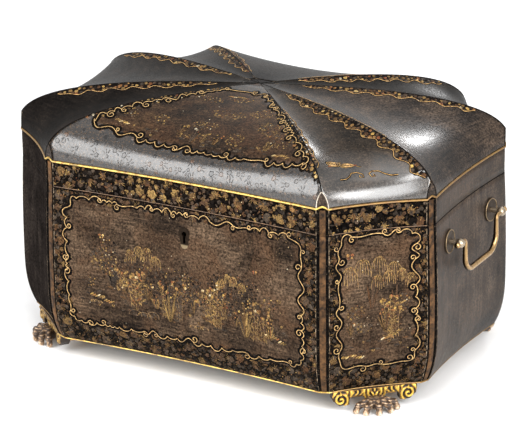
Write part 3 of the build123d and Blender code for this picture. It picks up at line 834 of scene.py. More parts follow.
# geometry trees for gilt leaves and gilt lines
def treeSockets(name, wanted):
    tree = bpy.data.node_groups.new(name, "GeometryNodeTree")
    tree.interface.new_socket("Geometry", in_out="INPUT", socket_type="NodeSocketGeometry")
    for label, kind in wanted.items():
        tree.interface.new_socket(label, in_out="INPUT", socket_type=f"NodeSocket{kind}")
    tree.interface.new_socket("Geometry", in_out="OUTPUT", socket_type="NodeSocketGeometry")
    return tree, tree.nodes.new("NodeGroupInput"), tree.nodes.new("NodeGroupOutput")


def readAttribute(tree, name, kind):
    node = addNode(tree, "GeometryNodeInputNamedAttribute", {"Name": name}, data_type=kind)
    return node.outputs["Attribute"]


def finishTree(tree, geometry, given, result):
    real = addNode(tree, "GeometryNodeRealizeInstances", {"Geometry": geometry})
    finished = addNode(tree, "GeometryNodeSetMaterial", {
        "Geometry": real.outputs["Geometry"], "Material": given.outputs["Finish"]})
    tree.links.new(finished.outputs["Geometry"], result.inputs["Geometry"])


def leafTree():
    # one flat shape on every point, turned, sized and tinted by the point's own values
    tree, given, result = treeSockets("laidLeaves", {
        "Leaf Size": "Float", "Relief": "Float", "Tint Spread": "Float", "Seed": "Int",
        "Shapes": "Collection", "Finish": "Material"})
    shapes = addNode(tree, "GeometryNodeCollectionInfo", {
        "Collection": given.outputs["Shapes"], "Separate Children": True, "Reset Children": True})
    size = readAttribute(tree, "size", "FLOAT")
    wide = mathNode(tree, "MULTIPLY", size, given.outputs["Leaf Size"])
    scale = addNode(tree, "ShaderNodeCombineXYZ", {"X": wide, "Y": wide, "Z": given.outputs["Relief"]})
    laid = addNode(tree, "GeometryNodeInstanceOnPoints", {
        "Points": given.outputs["Geometry"], "Instance": shapes.outputs["Instances"], "Pick Instance": True,
        "Instance Index": readAttribute(tree, "kind", "INT"),
        "Rotation": readAttribute(tree, "turn", "FLOAT_VECTOR"), "Scale": scale.outputs[0]})
    stray = addNode(tree, "FunctionNodeRandomValue", {"Seed": given.outputs["Seed"]}, data_type="FLOAT")
    centred = mathNode(tree, "SUBTRACT", stray.outputs[1], 0.5)
    spread = mathNode(tree, "MULTIPLY", centred, given.outputs["Tint Spread"])
    tinted = addNode(tree, "ShaderNodeMath", {0: spread, 1: readAttribute(tree, "tint", "FLOAT")},
                     operation="ADD", use_clamp=True)
    kept = addNode(tree, "GeometryNodeStoreNamedAttribute", {
        "Geometry": laid.outputs["Instances"], "Name": "tint", "Value": tinted.outputs[0]},
        data_type="FLOAT", domain="INSTANCE")
    finishTree(tree, kept.outputs["Geometry"], given, result)
    return tree


def lineTree():
    # a raised line of lacquer and gold along every drawn path
    tree, given, result = treeSockets("raisedLines", {
        "Line Radius": "Float", "Sides": "Int", "Finish": "Material"})
    path = addNode(tree, "GeometryNodeMeshToCurve", {"Mesh": given.outputs["Geometry"]})
    section = addNode(tree, "GeometryNodeCurvePrimitiveCircle", {
        "Resolution": given.outputs["Sides"], "Radius": given.outputs["Line Radius"]})
    swept = addNode(tree, "GeometryNodeCurveToMesh", {
        "Curve": path.outputs["Curve"], "Profile Curve": section.outputs["Curve"], "Fill Caps": True})
    smooth = addNode(tree, "GeometryNodeSetShadeSmooth", {"Geometry": swept.outputs["Mesh"]})
    finishTree(tree, smooth.outputs["Geometry"], given, result)
    return tree


def growMesh(made, tree, values):
    # sets the tree's inputs, evaluates it once and keeps the result as a plain mesh
    modifier = made.modifiers.new(tree.name, "NODES")
    modifier.node_group = tree
    for item in tree.interface.items_tree:
        if item.in_out == "INPUT" and item.name in values:
            modifier[item.identifier] = values[item.name]
    applyModifiers(made)
    layers = made.data.attributes
    for stale in ("turn", "size", "kind"):
        if stale in layers:
            layers.remove(layers[stale])


def sweptLines(name, paths, radius, sides, finish, body, slot):
    # a raised line along every path of points
    spots, links = [], []
    for path in paths:
        start = len(spots)
        spots += [tuple(map(float, spot)) for spot in path]
        links += [(index, index + 1) for index in range(start, len(spots) - 1)]
    mesh = bpy.data.meshes.new(name)
    mesh.from_pydata(spots, links, [])
    made = placed(name, mesh)
    growMesh(made, raisedLines, {"Line Radius": radius, "Sides": sides, "Finish": finish})
    attach(made, body, slot)


# leaf, flower and dot shapes, one unit across, with low domes
shapeSpec = {
    "vine": {"rim": 20, "lobes": 5, "depth": 0.22, "stretch": 0.92},
    "flower": {"rim": 16, "lobes": 4, "depth": 0.1, "stretch": 0.84},
    "blade": {"rim": 10, "lobes": 0, "depth": 0.0, "stretch": 0.34},
    "dot": {"rim": 8, "lobes": 0, "depth": 0.0, "stretch": 1.0},
    "reed": {"rim": 14, "lobes": 0, "depth": 0.0, "stretch": 0.085},
    "fan": {"rim": 21, "lobes": 0, "depth": 0.0, "stretch": 1.0},
}
shapeKinds = {name: number for number, name in enumerate(shapeSpec)}
drawnSlot = {"case": "painted_lacquer", "lid": "lid_lacquer"}


def leafShapes():
    shapes = bpy.data.collections.new("leafShapes")
    for name, number in shapeKinds.items():
        spec = shapeSpec[name]
        count = spec["rim"]
        top = [(0.0, 0.0, 0.2)]
        rim = []
        for step in range(count):
            angle = tau * step / count
            reach = 0.5 * (1 - spec["depth"] * (0.5 - 0.5 * math.cos(angle * spec["lobes"])))
            point = (reach * math.cos(angle), reach * math.sin(angle) * spec["stretch"])
            if name == "fan":
                # an open fan, narrow at its foot and scalloped round its head
                swing = (angle - math.pi) / math.pi
                scallop = 0.5 * (1 - 0.1 * (step % 3 == 1))
                wide = scallop * (0.35 + 0.65 * math.cos(swing * 1.9 / 2) ** 0.5)
                point = (wide * math.cos(swing * 2.2) - 0.05, wide * math.sin(swing * 2.2))
            top.append((point[0] * 0.72, point[1] * 0.72, 0.16))
            rim.append((*point, -0.25))
        faces = [(0, 1 + step, 1 + (step + 1) % count) for step in range(count)]
        for step in range(count):
            following = (step + 1) % count
            faces.append((1 + step, 1 + count + step, 1 + count + following, 1 + following))
        faces.append(tuple(1 + count + step for step in range(count - 1, -1, -1)))
        mesh = bpy.data.meshes.new(f"{number}_{name}")
        mesh.from_pydata(top + rim, [], faces)
        shape = bpy.data.objects.new(f"{number}_{name}", mesh)
        shadeSmooth(shape)
        shapes.objects.link(shape)
    return shapes


laidLeaves, raisedLines, shapes = leafTree(), lineTree(), leafShapes()


def turnTo(place, across, up, angle):
    # the Euler turn that lays a flat shape on the surface with its long way at this angle
    along, upward, normal = surfaceAxes(place, across, up, 0.2 * mm)
    first = along * math.cos(angle) + upward * math.sin(angle)
    second = np.cross(normal, first)
    return Matrix((first, second, normal)).transposed().to_euler()


class Drawing:
    # what is drawn on one surface: marks laid as leaves and paths laid as raised lines
    def __init__(self, key):
        self.place, self.limits = surfaces[key]
        self.flush = key[0] == "gore"
        self.ends = {"body": (wallBottom, seam), "rim": (lidBottom, rimTop)}.get(key[0])
        self.marks = []
        self.paths = []

    def room(self, across, up):
        # how far it is to the nearer edge
        low, high = self.limits(up)
        return min(across - low, high - across)

    def raised(self, across, up, level):
        proud = 0.0 if self.flush else float(liftAt(max(0.0, self.room(across, up))))
        return self.place(across, up) + normalAt(self.place, across, up) * (proud + level)

    def mark(self, kind, across, up, size, angle, tint, level=0.0):
        room = self.room(across, up)
        if self.ends:
            room = min(room, up - self.ends[0], self.ends[1] - up)
        if room > 0.5 * mm:
            share = min(1.0, room / (5 * mm))
            held = min(size, 2 * room + 0.6 * mm)
            self.marks.append((kind, across, up, held, angle, min(tint, 1.0), level * share))

    def path(self, points):
        kept = []
        for across, up in points:
            low, high = self.limits(up)
            kept.append((min(max(across, low + 0.3 * mm), high - 0.3 * mm), up))
        self.paths.append(kept)

    def layMarks(self, name, body, finish, seed, relief=0.5 * mm, spread=0.25):
        kinds, acrosses, ups, sizes, angles, tints, levels = zip(*self.marks)
        spots, turns = [], []
        for across, up, angle, level in zip(acrosses, ups, angles, levels):
            spots.append(self.raised(across, up, level))
            turns += turnTo(self.place, across, up, angle)
        made = newObject(name, spots, [])
        layers = made.data.attributes
        layers.new("turn", "FLOAT_VECTOR", "POINT").data.foreach_set("vector", turns)
        floatAttribute(made, "size", sizes)
        layers.new("kind", "INT", "POINT").data.foreach_set("value", [shapeKinds[kind] for kind in kinds])
        floatAttribute(made, "tint", tints)
        growMesh(made, laidLeaves, {"Leaf Size": 1.0, "Relief": relief, "Tint Spread": spread, "Seed": seed,
                                    "Shapes": shapes, "Finish": finish})
        attach(made, body, drawnSlot[body])

    def layPaths(self, name, body, finish, radius, sides=6, rise=None):
        level = (0.7 * radius if rise is None else rise) - radius
        paths = [[self.raised(across, up, level) for across, up in path] for path in self.paths]
        sweptLines(name, paths, radius, sides, finish, body, drawnSlot[body])


def awayFrom(across, up, way, length):
    return across + math.cos(way) * length, up + math.sin(way) * length


def scatter(area, region, spacing, seed):
    # points no nearer than the spacing, inside the region
    rng = random.Random(seed)
    left, right, bottom, top = area
    cells, kept = {}, []
    tries = int((right - left) * (top - bottom) / spacing ** 2 * 14)
    for attempt in range(tries):
        point = (rng.uniform(left, right), rng.uniform(bottom, top))
        cell = (int(point[0] // spacing), int(point[1] // spacing))
        near = [cells[key] for dx in (-1, 0, 1) for dy in (-1, 0, 1)
                if (key := (cell[0] + dx, cell[1] + dy)) in cells]
        if all(math.dist(point, other) >= spacing for other in near) and region(*point):
            cells[cell] = point
            kept.append(point)
    return kept


border = {
    "padSpacing": 3.4 * mm,
    "padSizes": (3.2 * mm, 5.6 * mm),
    "fanSpacing": 9.5 * mm,
    "fanSizes": (6.5 * mm, 11 * mm),
    "sprigSpacing": 6.5 * mm,
    "sprigSizes": (3.5 * mm, 6.0 * mm),
    "edgeGap": 1.3 * mm,
    "wallMargin": 1.2 * mm,
    "rimMargin": 1.4 * mm,
    "halfLengths": (128 * mm, 46 * mm),  # front, right facet
    "edgeDrop": 0.7 * mm,
    "edgeRadius": 0.32 * mm,
}


def leafBorder(drawing, area, region, seed, faint=1.0):
    # small pads packed together, with large fan leaves, sprigs and a few gilt berries over them
    rng = random.Random(seed + 1)
    for across, up in scatter(area, region, border["padSpacing"], seed):
        kind = rng.choice(("vine", "vine", "fan", "blade"))
        tint = rng.choice((0.0, 0.03, 0.08, 0.12, 0.18, 0.28, 0.34, 0.44, 0.5, 0.56)) * faint
        drawing.mark(kind, across, up, rng.uniform(*border["padSizes"]), rng.uniform(0, tau), tint,
                     rng.uniform(0.0, 0.05) * mm)
    for across, up in scatter(area, region, border["fanSpacing"], seed + 3):
        tint = rng.choice((0.42, 0.5, 0.54, 0.6, 0.66, 0.72)) * faint
        turn = rng.uniform(0, tau)
        kind = rng.choice(("fan", "vine"))
        drawing.mark(kind, across, up, rng.uniform(*border["fanSizes"]), turn, tint, 0.05 * mm)
        for rib in range(5):
            way = turn + math.pi + (rib - 2) * 0.5
            drawing.mark("reed", *awayFrom(across, up, way, 2.4 * mm), 5.2 * mm, way,
                         rng.choice((0.0, 0.66, 0.78)) * faint, 0.1 * mm)
        for berry in range(3):
            drawing.mark("dot", across + rng.uniform(-5, 5) * mm, up + rng.uniform(-5, 5) * mm,
                         rng.uniform(0.8, 1.3) * mm, 0.0, rng.choice((0.78, 0.87, 0.93)) * faint, 0.08 * mm)
    for across, up in scatter(area, region, border["sprigSpacing"], seed + 2):
        heading, size = rng.uniform(0, tau), rng.uniform(*border["sprigSizes"])
        tint = rng.choice((0.0, 0.3, 0.5, 0.62)) * faint
        for turn in (-0.5, 0.0, 0.5):
            way = heading + turn
            drawing.mark("blade", *awayFrom(across, up, way, size * 0.4), size, way, tint, 0.07 * mm)


def faintSprays(drawing, area, region, seed):
    # leaves hardly darker than the polished lacquer they lie on
    rng = random.Random(seed)
    for across, up in scatter(area, region, 7.5 * mm, seed):
        drawing.mark(rng.choice(("fan", "vine")), across, up, rng.uniform(3.6, 5.4) * mm, rng.uniform(0, tau),
                     rng.choice((0.0, 0.08, 0.14, 0.44)))
        heading = rng.uniform(0, tau)
        for turn in (-0.6, 0.0, 0.6):
            way = heading + turn
            drawing.mark("blade", *awayFrom(across, up, way, 4 * mm), 3.4 * mm, way,
                         rng.choice((0.0, 0.1, 0.16)))


def ridgeBand(drawing, end, width, low, high, seed, tints=(0.3, 0.46, 0.56, 0.62, 0.7, 0.78, 0.84, 0.88)):
    # gilt and brown leaves along one ridge, ending in a wavy line
    rng = random.Random(seed)
    phase = rng.uniform(0, tau)

    def breadth(up):
        taper = min(1.0, (high - up) / (45 * mm) + 0.3, (up - low) / (8 * mm) + 0.3)
        return width * taper * (0.82 + 0.24 * math.sin(tau * up / (17 * mm) + phase))

    def region(across, up):
        if not low < up < high:
            return False
        edges = drawing.limits(up)
        return 0.9 * mm < abs(edges[end] - across) < breadth(up)

    edges = [drawing.limits(low + (high - low) * step / 20)[end] for step in range(21)]
    area = (min(edges) - width * 1.2, max(edges) + width * 1.2, low, high)
    for across, up in scatter(area, region, 2.4 * mm, seed + 1):
        drawing.mark("dot", across, up, 5.2 * mm, 0.0, 0.0, -0.07 * mm)
    for across, up in scatter(area, region, 3.1 * mm, seed):
        size = rng.uniform(3.0, 5.2) * mm
        drawing.mark(rng.choice(("vine", "flower", "fan")), across, up, size, rng.uniform(0, tau),
                     rng.choice(tints), rng.uniform(-0.02, 0.05) * mm)
    way = 1 if end == 0 else -1
    steps = int((high - low) / (1.2 * mm))
    drawing.path([(drawing.limits(up)[end] + way * (breadth(up) + 0.9 * mm), up)
                  for up in (low + (high - low) * step / steps for step in range(steps + 1))])


def pathFollower(points):
    # a closed outline as a function of the way round it: the place and the way out
    loop = np.vstack((points, points[:1]))
    steps = np.linalg.norm(np.diff(loop, axis=0), axis=1)
    ways = np.concatenate(((0,), np.cumsum(steps)))
    total = float(ways[-1])

    def spotAt(way):
        return np.array([np.interp(way % total, ways, loop[:, axis]) for axis in (0, 1)])

    def at(way, off=0.0):
        forward = unit(spotAt(way + 1.5 * mm) - spotAt(way - 1.5 * mm))
        return spotAt(way) + np.array((forward[1], -forward[0])) * off

    return at, total


scroll = {
    "motif": 17 * mm,
    "wave": 4.6 * mm,
    "curl": 2.9 * mm,
    "curled": 0.8,
    "shade": 5.2 * mm,
    "shadeStep": 1.3 * mm,
}


def scrollRun(kind, share):
    # how far one run of the line stands off the outline, as a share of the wave
    if kind == 0:
        return abs(math.sin(share * math.pi * 2)) ** 0.7 * (0.9 if share < 0.5 else 0.5) - 0.45
    if kind == 1:
        return 0.75 * math.sin(share * math.pi * 2) * (1 - 0.3 * share)
    if kind == 2:
        return abs(math.sin(share * math.pi * 3)) ** 0.6 * 0.55 - 0.25
    return 0.16 * math.sin(share * math.pi * 2)


def scrollLine(outer, shade, field, seed):
    # a bracketed line round a reserve on a dark band, most brackets ending in a curl
    rng = random.Random(seed)
    at, total = pathFollower(field)
    count = max(4, round(total / scroll["motif"]))
    cuts = [total * (index + rng.uniform(-0.28, 0.28)) / count for index in range(count)]
    cuts.append(cuts[0] + total)
    for start, end in zip(cuts, cuts[1:]):
        wave = scroll["wave"] * rng.uniform(0.7, 1.1) * min(1.0, (end - start) / (13 * mm))
        curl = scroll["curl"] * rng.uniform(0.6, 1.1)
        kind, turnWay = rng.choice((0, 0, 1, 2, 3)), rng.choice((-1, 1))
        first, last = scrollRun(kind, 0.0), scrollRun(kind, 1.0)
        line = []
        for step in range(29):
            share = step / 28
            off = wave * (scrollRun(kind, share) - first * (1 - share) - last * share)
            line.append(at(start + (end - start) * share, off))
        if rng.random() < scroll["curled"]:
            run = line[-1] - line[-3]
            heading = math.atan2(run[1], run[0])
            spot = line[-1]
            for step in range(1, 19):
                tight = curl * (1 - step / 25)
                heading += turnWay * (tau * 1.1 / 18)
                spot = spot + np.array((math.cos(heading), math.sin(heading))) * (tight * tau * 1.1 / 18)
                line.append(spot)
        outer.path([tuple(point) for point in line])
        dark = [line[0]]
        for point in line:
            if math.dist(point, dark[-1]) > scroll["shadeStep"]:
                dark.append(point)
        for across, up in dark:
            shade.mark("dot", across, up, scroll["shade"] * rng.uniform(0.8, 1.15), 0.0, 0.0, 0.1 * mm)


# garden motifs of the reserves
def plant(drawing, across, up, height, seed, tint=0.7, flowers=4):
    # a clump of long leaves, dark behind and gilt before, with a few blossoms
    rng = random.Random(seed)
    for layer, count in ((0, 6), (1, 8)):
        for blade in range(count):
            lean = (blade - (count - 1) / 2) * 0.09 + rng.uniform(-0.08, 0.08)
            length = height * (1.0 - 0.9 * abs(lean)) * rng.uniform(0.5, 1.0)
            angle = math.pi / 2 - lean
            foot = across + lean * 3 * mm
            shade = rng.uniform(0.0, 0.25) if layer == 0 else tint + rng.uniform(-0.22, 0.04)
            drawing.mark("reed", *awayFrom(foot, up, angle, length / 2), length, angle, shade,
                         (0.05 + 0.05 * layer) * mm)
            if rng.random() < 0.4:
                tip = rng.uniform(0.45, 0.95) * length
                drawing.mark("blade", *awayFrom(foot, up, angle, tip), rng.uniform(3, 5) * mm,
                             angle + rng.choice((-0.7, 0.7)), shade, 0.08 * mm)
    for blossom in range(flowers):
        drawing.mark("flower", across + rng.uniform(-4, 4) * mm, up + height * rng.uniform(0.5, 1.0),
                     rng.uniform(1.6, 2.6) * mm, rng.uniform(0, tau),
                     rng.choice((0.72, 0.78, 0.86, 0.9, 0.94)), 0.14 * mm)


def stalks(drawing, across, up, height, seed, tint=0.74):
    # a few upright stems, leaved on both sides and blossoming at the head
    rng = random.Random(seed)
    for stem in range(3):
        lean = (stem - 1) * 0.1 + rng.uniform(-0.05, 0.05)
        tall = height * rng.uniform(0.72, 1.0)
        foot = across + (stem - 1) * 1.8 * mm

        def at(share):
            x = foot + math.sin(lean) * tall * share + 0.9 * mm * math.sin(share * 4 + stem)
            return x, up + tall * share

        drawing.path([at(step / 8) for step in range(9)])
        leaves = int(tall / (2.3 * mm))
        for leaf in range(leaves):
            share = (leaf + 0.6) / leaves
            way = 1 if leaf % 2 else -1
            x, y = at(share)
            size = rng.uniform(3.4, 5.4) * mm * (1.15 - 0.5 * share)
            drawing.mark("blade", x + way * size * 0.36, y + size * 0.2, size, math.pi / 2 - way * 0.95,
                         tint + rng.uniform(-0.24, 0.08), rng.uniform(0.04, 0.08) * mm)
        x, y = at(1.0)
        for petal in range(3):
            drawing.mark("flower", x + rng.uniform(-1.4, 1.4) * mm, y + rng.uniform(-1, 1.6) * mm,
                         rng.uniform(2.2, 3.4) * mm, rng.uniform(0, tau), rng.choice((0.74, 0.8, 0.87, 0.94)),
                         0.12 * mm)


def bush(drawing, across, up, wide, tall, seed, tints=(0.2, 0.3, 0.5, 0.62, 0.68)):
    rng = random.Random(seed)

    def region(x, y):
        return ((x - across) / wide) ** 2 + ((y - up) / tall) ** 2 < 0.25

    area = (across - wide / 2, across + wide / 2, up - tall / 2, up + tall / 2)
    for x, y in scatter(area, region, 1.9 * mm, seed):
        drawing.mark(rng.choice(("vine", "blade", "flower")), x, y, rng.uniform(1.7, 3.0) * mm,
                     rng.uniform(0, tau), rng.choice(tints), rng.uniform(-0.05, 0.05) * mm)
        if rng.random() < 0.12:
            drawing.mark("dot", x, y, rng.uniform(0.8, 1.3) * mm, 0.0, rng.choice((0.86, 0.9, 0.94)),
                         0.12 * mm)


def willow(drawing, across, up, size, seed):
    # a bent trunk under hanging sprays
    rng = random.Random(seed)
    for limb, lean in ((0.62, 0.08), (0.5, -0.16), (0.44, 0.3)):
        way, length = math.pi / 2 - lean, size * limb
        drawing.mark("reed", *awayFrom(across, up, way, length / 2), length, way, 0.46, 0.04 * mm)
    for spray in range(4):
        headX = across + (spray - 1.5) * size * 0.26 + rng.uniform(-1, 1) * mm
        headY = up + size * (0.74 + 0.22 * math.cos((spray - 1.5) * 0.9)) + rng.uniform(-1.5, 1.5) * mm
        for branch in range(7):
            lean = (branch - 3) / 3
            reach = size * rng.uniform(0.2, 0.34)
            points = [(headX + lean * size * 0.15 * math.sin(share * 1.5), headY - reach * share ** 1.5 * 1.1
                       + size * 0.06 * math.sin(share * math.pi)) for share in (0, 0.2, 0.4, 0.6, 0.8, 1.0)]
            drawing.path(points)
            for (x0, y0), (x1, y1) in zip(points, points[1:]):
                drawing.mark("blade", (x0 + x1) / 2, (y0 + y1) / 2, 3.0 * mm, math.atan2(y1 - y0, x1 - x0),
                             rng.choice((0.5, 0.66, 0.72, 0.78)), rng.uniform(0, 0.05) * mm)


def fence(drawing, across, up, length, seed, fall=-0.28):
    # a low zigzag of slanting boards
    rng = random.Random(seed)
    count = int(length / (2.1 * mm))
    for board in range(count):
        x = across + board * 2.1 * mm
        y = up + (x - across) * fall + (1.2 * mm if (board // 3) % 2 else 0)
        drawing.mark("blade", x, y, 4.4 * mm, 0.5 + rng.uniform(-0.15, 0.15),
                     rng.choice((0.76, 0.8, 0.95)), 0.05 * mm)


def rocks(drawing, across, up, wide, seed):
    rng = random.Random(seed)
    for hump in range(3):
        middle = across + (hump - 1) * wide * 0.34
        half, tall = wide * rng.uniform(0.16, 0.26), wide * rng.uniform(0.14, 0.24)
        turns = [math.pi * step / 9 for step in range(10)]
        drawing.path([(middle + half * math.cos(turn), up + tall * math.sin(turn) ** 0.7) for turn in turns])
    for pebble in range(int(wide / (1.6 * mm))):
        drawing.mark("flower", across + rng.uniform(-0.5, 0.5) * wide, up + rng.uniform(-0.02, 0.16) * wide,
                     rng.uniform(1.6, 3.4) * mm, 0.0, rng.choice((0.2, 0.3, 0.5, 0.6)), -0.02 * mm)


def butterfly(drawing, across, up, size, tint):
    for way in (-1, 1):
        drawing.mark("flower", across + way * size * 0.3, up + size * 0.22, size * 0.6, 0.0, tint)
        drawing.mark("flower", across + way * size * 0.22, up - size * 0.18, size * 0.42, 0.0, tint)
    drawing.mark("blade", across, up, size * 0.8, math.pi / 2, 0.4, 0.1 * mm)


def ground(drawing, left, right, up, rise, seed):
    # broken strokes of bank and grass
    rng = random.Random(seed)
    for stroke in range(int((right - left) / (3.2 * mm))):
        x = rng.uniform(left, right)
        drawing.mark("blade", x, up + rng.uniform(-rise, rise), rng.uniform(3, 8) * mm,
                     rng.uniform(-0.25, 0.1), rng.choice((0.12, 0.2, 0.3, 0.42, 0.5)), -0.04 * mm)
    for tuft in range(int((right - left) / (11 * mm))):
        x, y = rng.uniform(left, right), up + rng.uniform(-rise, rise)
        for blade in range(4):
            angle = math.pi / 2 + (blade - 1.5) * 0.35
            drawing.mark("blade", x + math.cos(angle) * 1.2 * mm, y + math.sin(angle) * 1.4 * mm,
                         3.0 * mm, angle, rng.choice((0.5, 0.66, 0.74)), 0.03 * mm)


def chips(drawing, left, right, low, high, count, seed):
    # small losses that show the pale ground
    rng = random.Random(seed)
    for chip in range(count):
        drawing.mark("vine", rng.uniform(left, right), rng.uniform(low, high), rng.uniform(0.7, 1.5) * mm,
                     rng.uniform(0, tau), 1.0, 0.03 * mm)


shadowTints = (0.0, 0.05, 0.1, 0.16, 0.2, 0.44)
lidTints = (0.3, 0.44, 0.5, 0.62, 0.68, 0.74)
# motifs in the order they are laid: the lengths of each in millimetres, then what else it takes,
# such as its seed and its tint
frontPlan = (
    (bush, -58, 94, 44, 22, 91, shadowTints), (bush, -8, 92, 46, 20, 92, shadowTints),
    (bush, 44, 96, 48, 22, 93, shadowTints), (bush, 8, 78, 120, 10, 94, shadowTints),
    (bush, -70, 108, 18, 16, 95, shadowTints), (ground, -96, 94, 62, 7, 101),
    (ground, -90, 92, 76, 9, 102), (bush, -74, 98, 25, 22, 111), (bush, -60, 84, 15, 15, 112),
    (bush, -40, 84, 17, 14, 113), (bush, -14, 82, 24, 10, 114), (bush, 8, 81, 26, 10, 115),
    (bush, 33, 86, 17, 13, 116), (bush, 60, 83, 17, 13, 117), (bush, 77, 88, 14, 11, 118),
    (bush, -88, 78, 12, 9, 119), (bush, 47, 100, 11, 8, 120), (bush, -2, 93, 19, 8, 121),
    (bush, -36, 96, 10, 8, 122), (plant, -66, 76, 19, 131, 0.3), (stalks, -43, 64, 30, 132, 0.8),
    (plant, -33, 70, 17, 133, 0.6), (plant, -14, 55, 40, 134, 0.72), (stalks, -6, 58, 34, 135, 0.5),
    (stalks, 26, 60, 33, 136, 0.76), (plant, 36, 66, 17, 137, 0.66), (plant, 56, 55, 36, 138, 0.78),
    (stalks, 72, 54, 28, 139, 0.6), (plant, 78, 58, 17, 140, 0.84), (plant, -26, 64, 12, 141, 0.78),
    (plant, 8, 66, 14, 142, 0.6), (plant, 46, 62, 15, 143, 0.64), (plant, -54, 70, 10, 144, 0.6),
    (stalks, -48, 62, 26, 149, 0.62), (stalks, -19, 58, 30, 150, 0.62), (stalks, 20, 62, 26, 151, 0.62),
    (stalks, 30, 58, 38, 152, 0.62), (stalks, 64, 54, 31, 153, 0.62), (stalks, -58, 74, 18, 154, 0.62),
    (willow, -38, 84, 32, 151), (willow, 42, 82, 24, 152), (fence, -86, 67, 22, 161),
    (fence, 74, 62, 20, 162), (rocks, -38, 55, 24, 171), (rocks, 12, 54, 15, 172),
    (rocks, -82, 60, 10, 173), (butterfly, -76, 118, 5, 0.9), (butterfly, -72, 125, 4, 0.5),
    (butterfly, 64, 112, 4, 0.88), (butterfly, 86, 92, 4, 0.66), (chips, -105, 104, 44, 144, 26, 181),
)
facetPlan = (
    (ground, -29, 28, 58, 6, 201), (willow, -5, 88, 46, 202), (willow, 14, 88, 34, 203),
    (bush, -18, 88, 15, 12, 204, (0.5, 0.6, 0.3, 0.66)), (bush, 20, 92, 12, 16, 205),
    (bush, -14, 74, 20, 8, 206), (stalks, 10, 62, 36, 207, 0.78), (stalks, 14, 64, 28, 215, 0.7),
    (plant, 6, 70, 24, 208, 0.6), (plant, -22, 68, 15, 209, 0.66), (fence, 4, 63, 14, 210, 0.2),
    (fence, -29, 51, 20, 211, -0.12), (fence, 15, 92, 10, 212, 0.0), (butterfly, -22, 134, 6, 0.88),
    (chips, -29, 28, 44, 146, 9, 213),
)
lidPlan = (
    (bush, -42, 54, 13, 12, 301, lidTints), (bush, 28, 46, 16, 14, 302, lidTints),
    (bush, 6, 78, 30, 12, 303, lidTints), (bush, 58, 62, 26, 18, 304, lidTints),
    (bush, 36, 84, 28, 13, 305, lidTints), (bush, -22, 96, 26, 9, 306, lidTints),
    (bush, 4, 104, 22, 8, 307, lidTints), (bush, 70, 46, 20, 12, 308, lidTints),
    (bush, -4, 58, 22, 12, 309, lidTints), (bush, -70, 52, 14, 9, 310, lidTints),
    (bush, 44, 66, 14, 12, 311, lidTints), (bush, -12, 40, 22, 6, 312, lidTints),
    (plant, -6, 34, 18, 321, 0.5), (plant, 2, 36, 15, 322, 0.6), (plant, 14, 36, 12, 323, 0.66),
    (plant, -20, 42, 14, 324, 0.6), (plant, 60, 36, 18, 325, 0.7), (fence, -76, 42, 13, 331),
    (fence, 70, 33, 15, 332, -0.1), (fence, -8, 107, 18, 333, 0.0), (ground, -70, 70, 36, 5, 334),
    (chips, -95, 95, 30, 90, 12, 335),
)
gardens = {
    "front_garden": {
        "side": ("body", 0), "body": "case", "relief": 0.4 * mm, "lines": True, "seed": 191,
        "plan": frontPlan,
    },
    "front_right_facet_garden": {
        "side": ("body", 1), "body": "case", "relief": 0.4 * mm, "lines": True, "seed": 214,
        "plan": facetPlan,
    },
    "front_gore_garden": {
        "side": ("gore", 0), "body": "lid", "relief": 0.36 * mm, "lines": False, "seed": 341,
        "plan": lidPlan,
    },
}
# these three give a width as well as a place and a height
wideMotifs = (bush, ground, chips)


def drawGarden(name, garden):
    drawing = Drawing(garden["side"])
    for motif, *values in garden["plan"]:
        lengths = 4 if motif in wideMotifs else 3
        motif(drawing, *[value * mm for value in values[:lengths]], *values[lengths:])
    drawing.layMarks(name, garden["body"], sceneGold, garden["seed"], garden["relief"], 0.12)
    if garden["lines"]:
        drawing.layPaths(f"{name}_lines", garden["body"], dullLine, 0.17 * mm, 5)


def cloudPath(across, up, wide, tall):
    turns = [tau * step / 20 for step in range(21)]
    return [(across + wide * math.cos(turn), up + tall * math.sin(turn)) for turn in turns]


# leaf bands by the ridges of the other gores: end, width and lowest place in mm, share of the slope
ridgeBands = {
    1: ((1, 9.0, 14, 0.88), (0, 3.4, 30, 0.7)),
    2: ((1, 7.5, 34, 0.88), (0, 3.0, 60, 0.86)),
    3: ((1, 7.5, 34, 0.88),),
    4: ((0, 6.5, 40, 0.87), (1, 6.5, 40, 0.87)),
    5: ((0, 6.5, 34, 0.87),),
    6: ((0, 7.5, 34, 0.88),),
    7: ((0, 7.5, 40, 0.88),),
}


def lidBands():
    for side, bands in ridgeBands.items():
        drawing = Drawing(("gore", side))
        slope = surfaces["slope", side]
        for index, (end, width, low, share) in enumerate(bands):
            ridgeBand(drawing, end, width * mm, low * mm, slope * share, 400 + side * 10 + index)
        if side == 1:
            facetSprig(drawing)
        name = sideNames[side]
        drawing.layMarks(f"{name}_ridge_leaves", "lid", leafGold, 450 + side, 0.45 * mm)
        drawing.layPaths(f"{name}_ridge_lines", "lid", goldLine, 0.26 * mm, 6, 0.24 * mm)
        drawing.layPaths(f"{name}_ridge_shade", "lid", darkLine, 3.0 * mm, 20, 0.14 * mm)


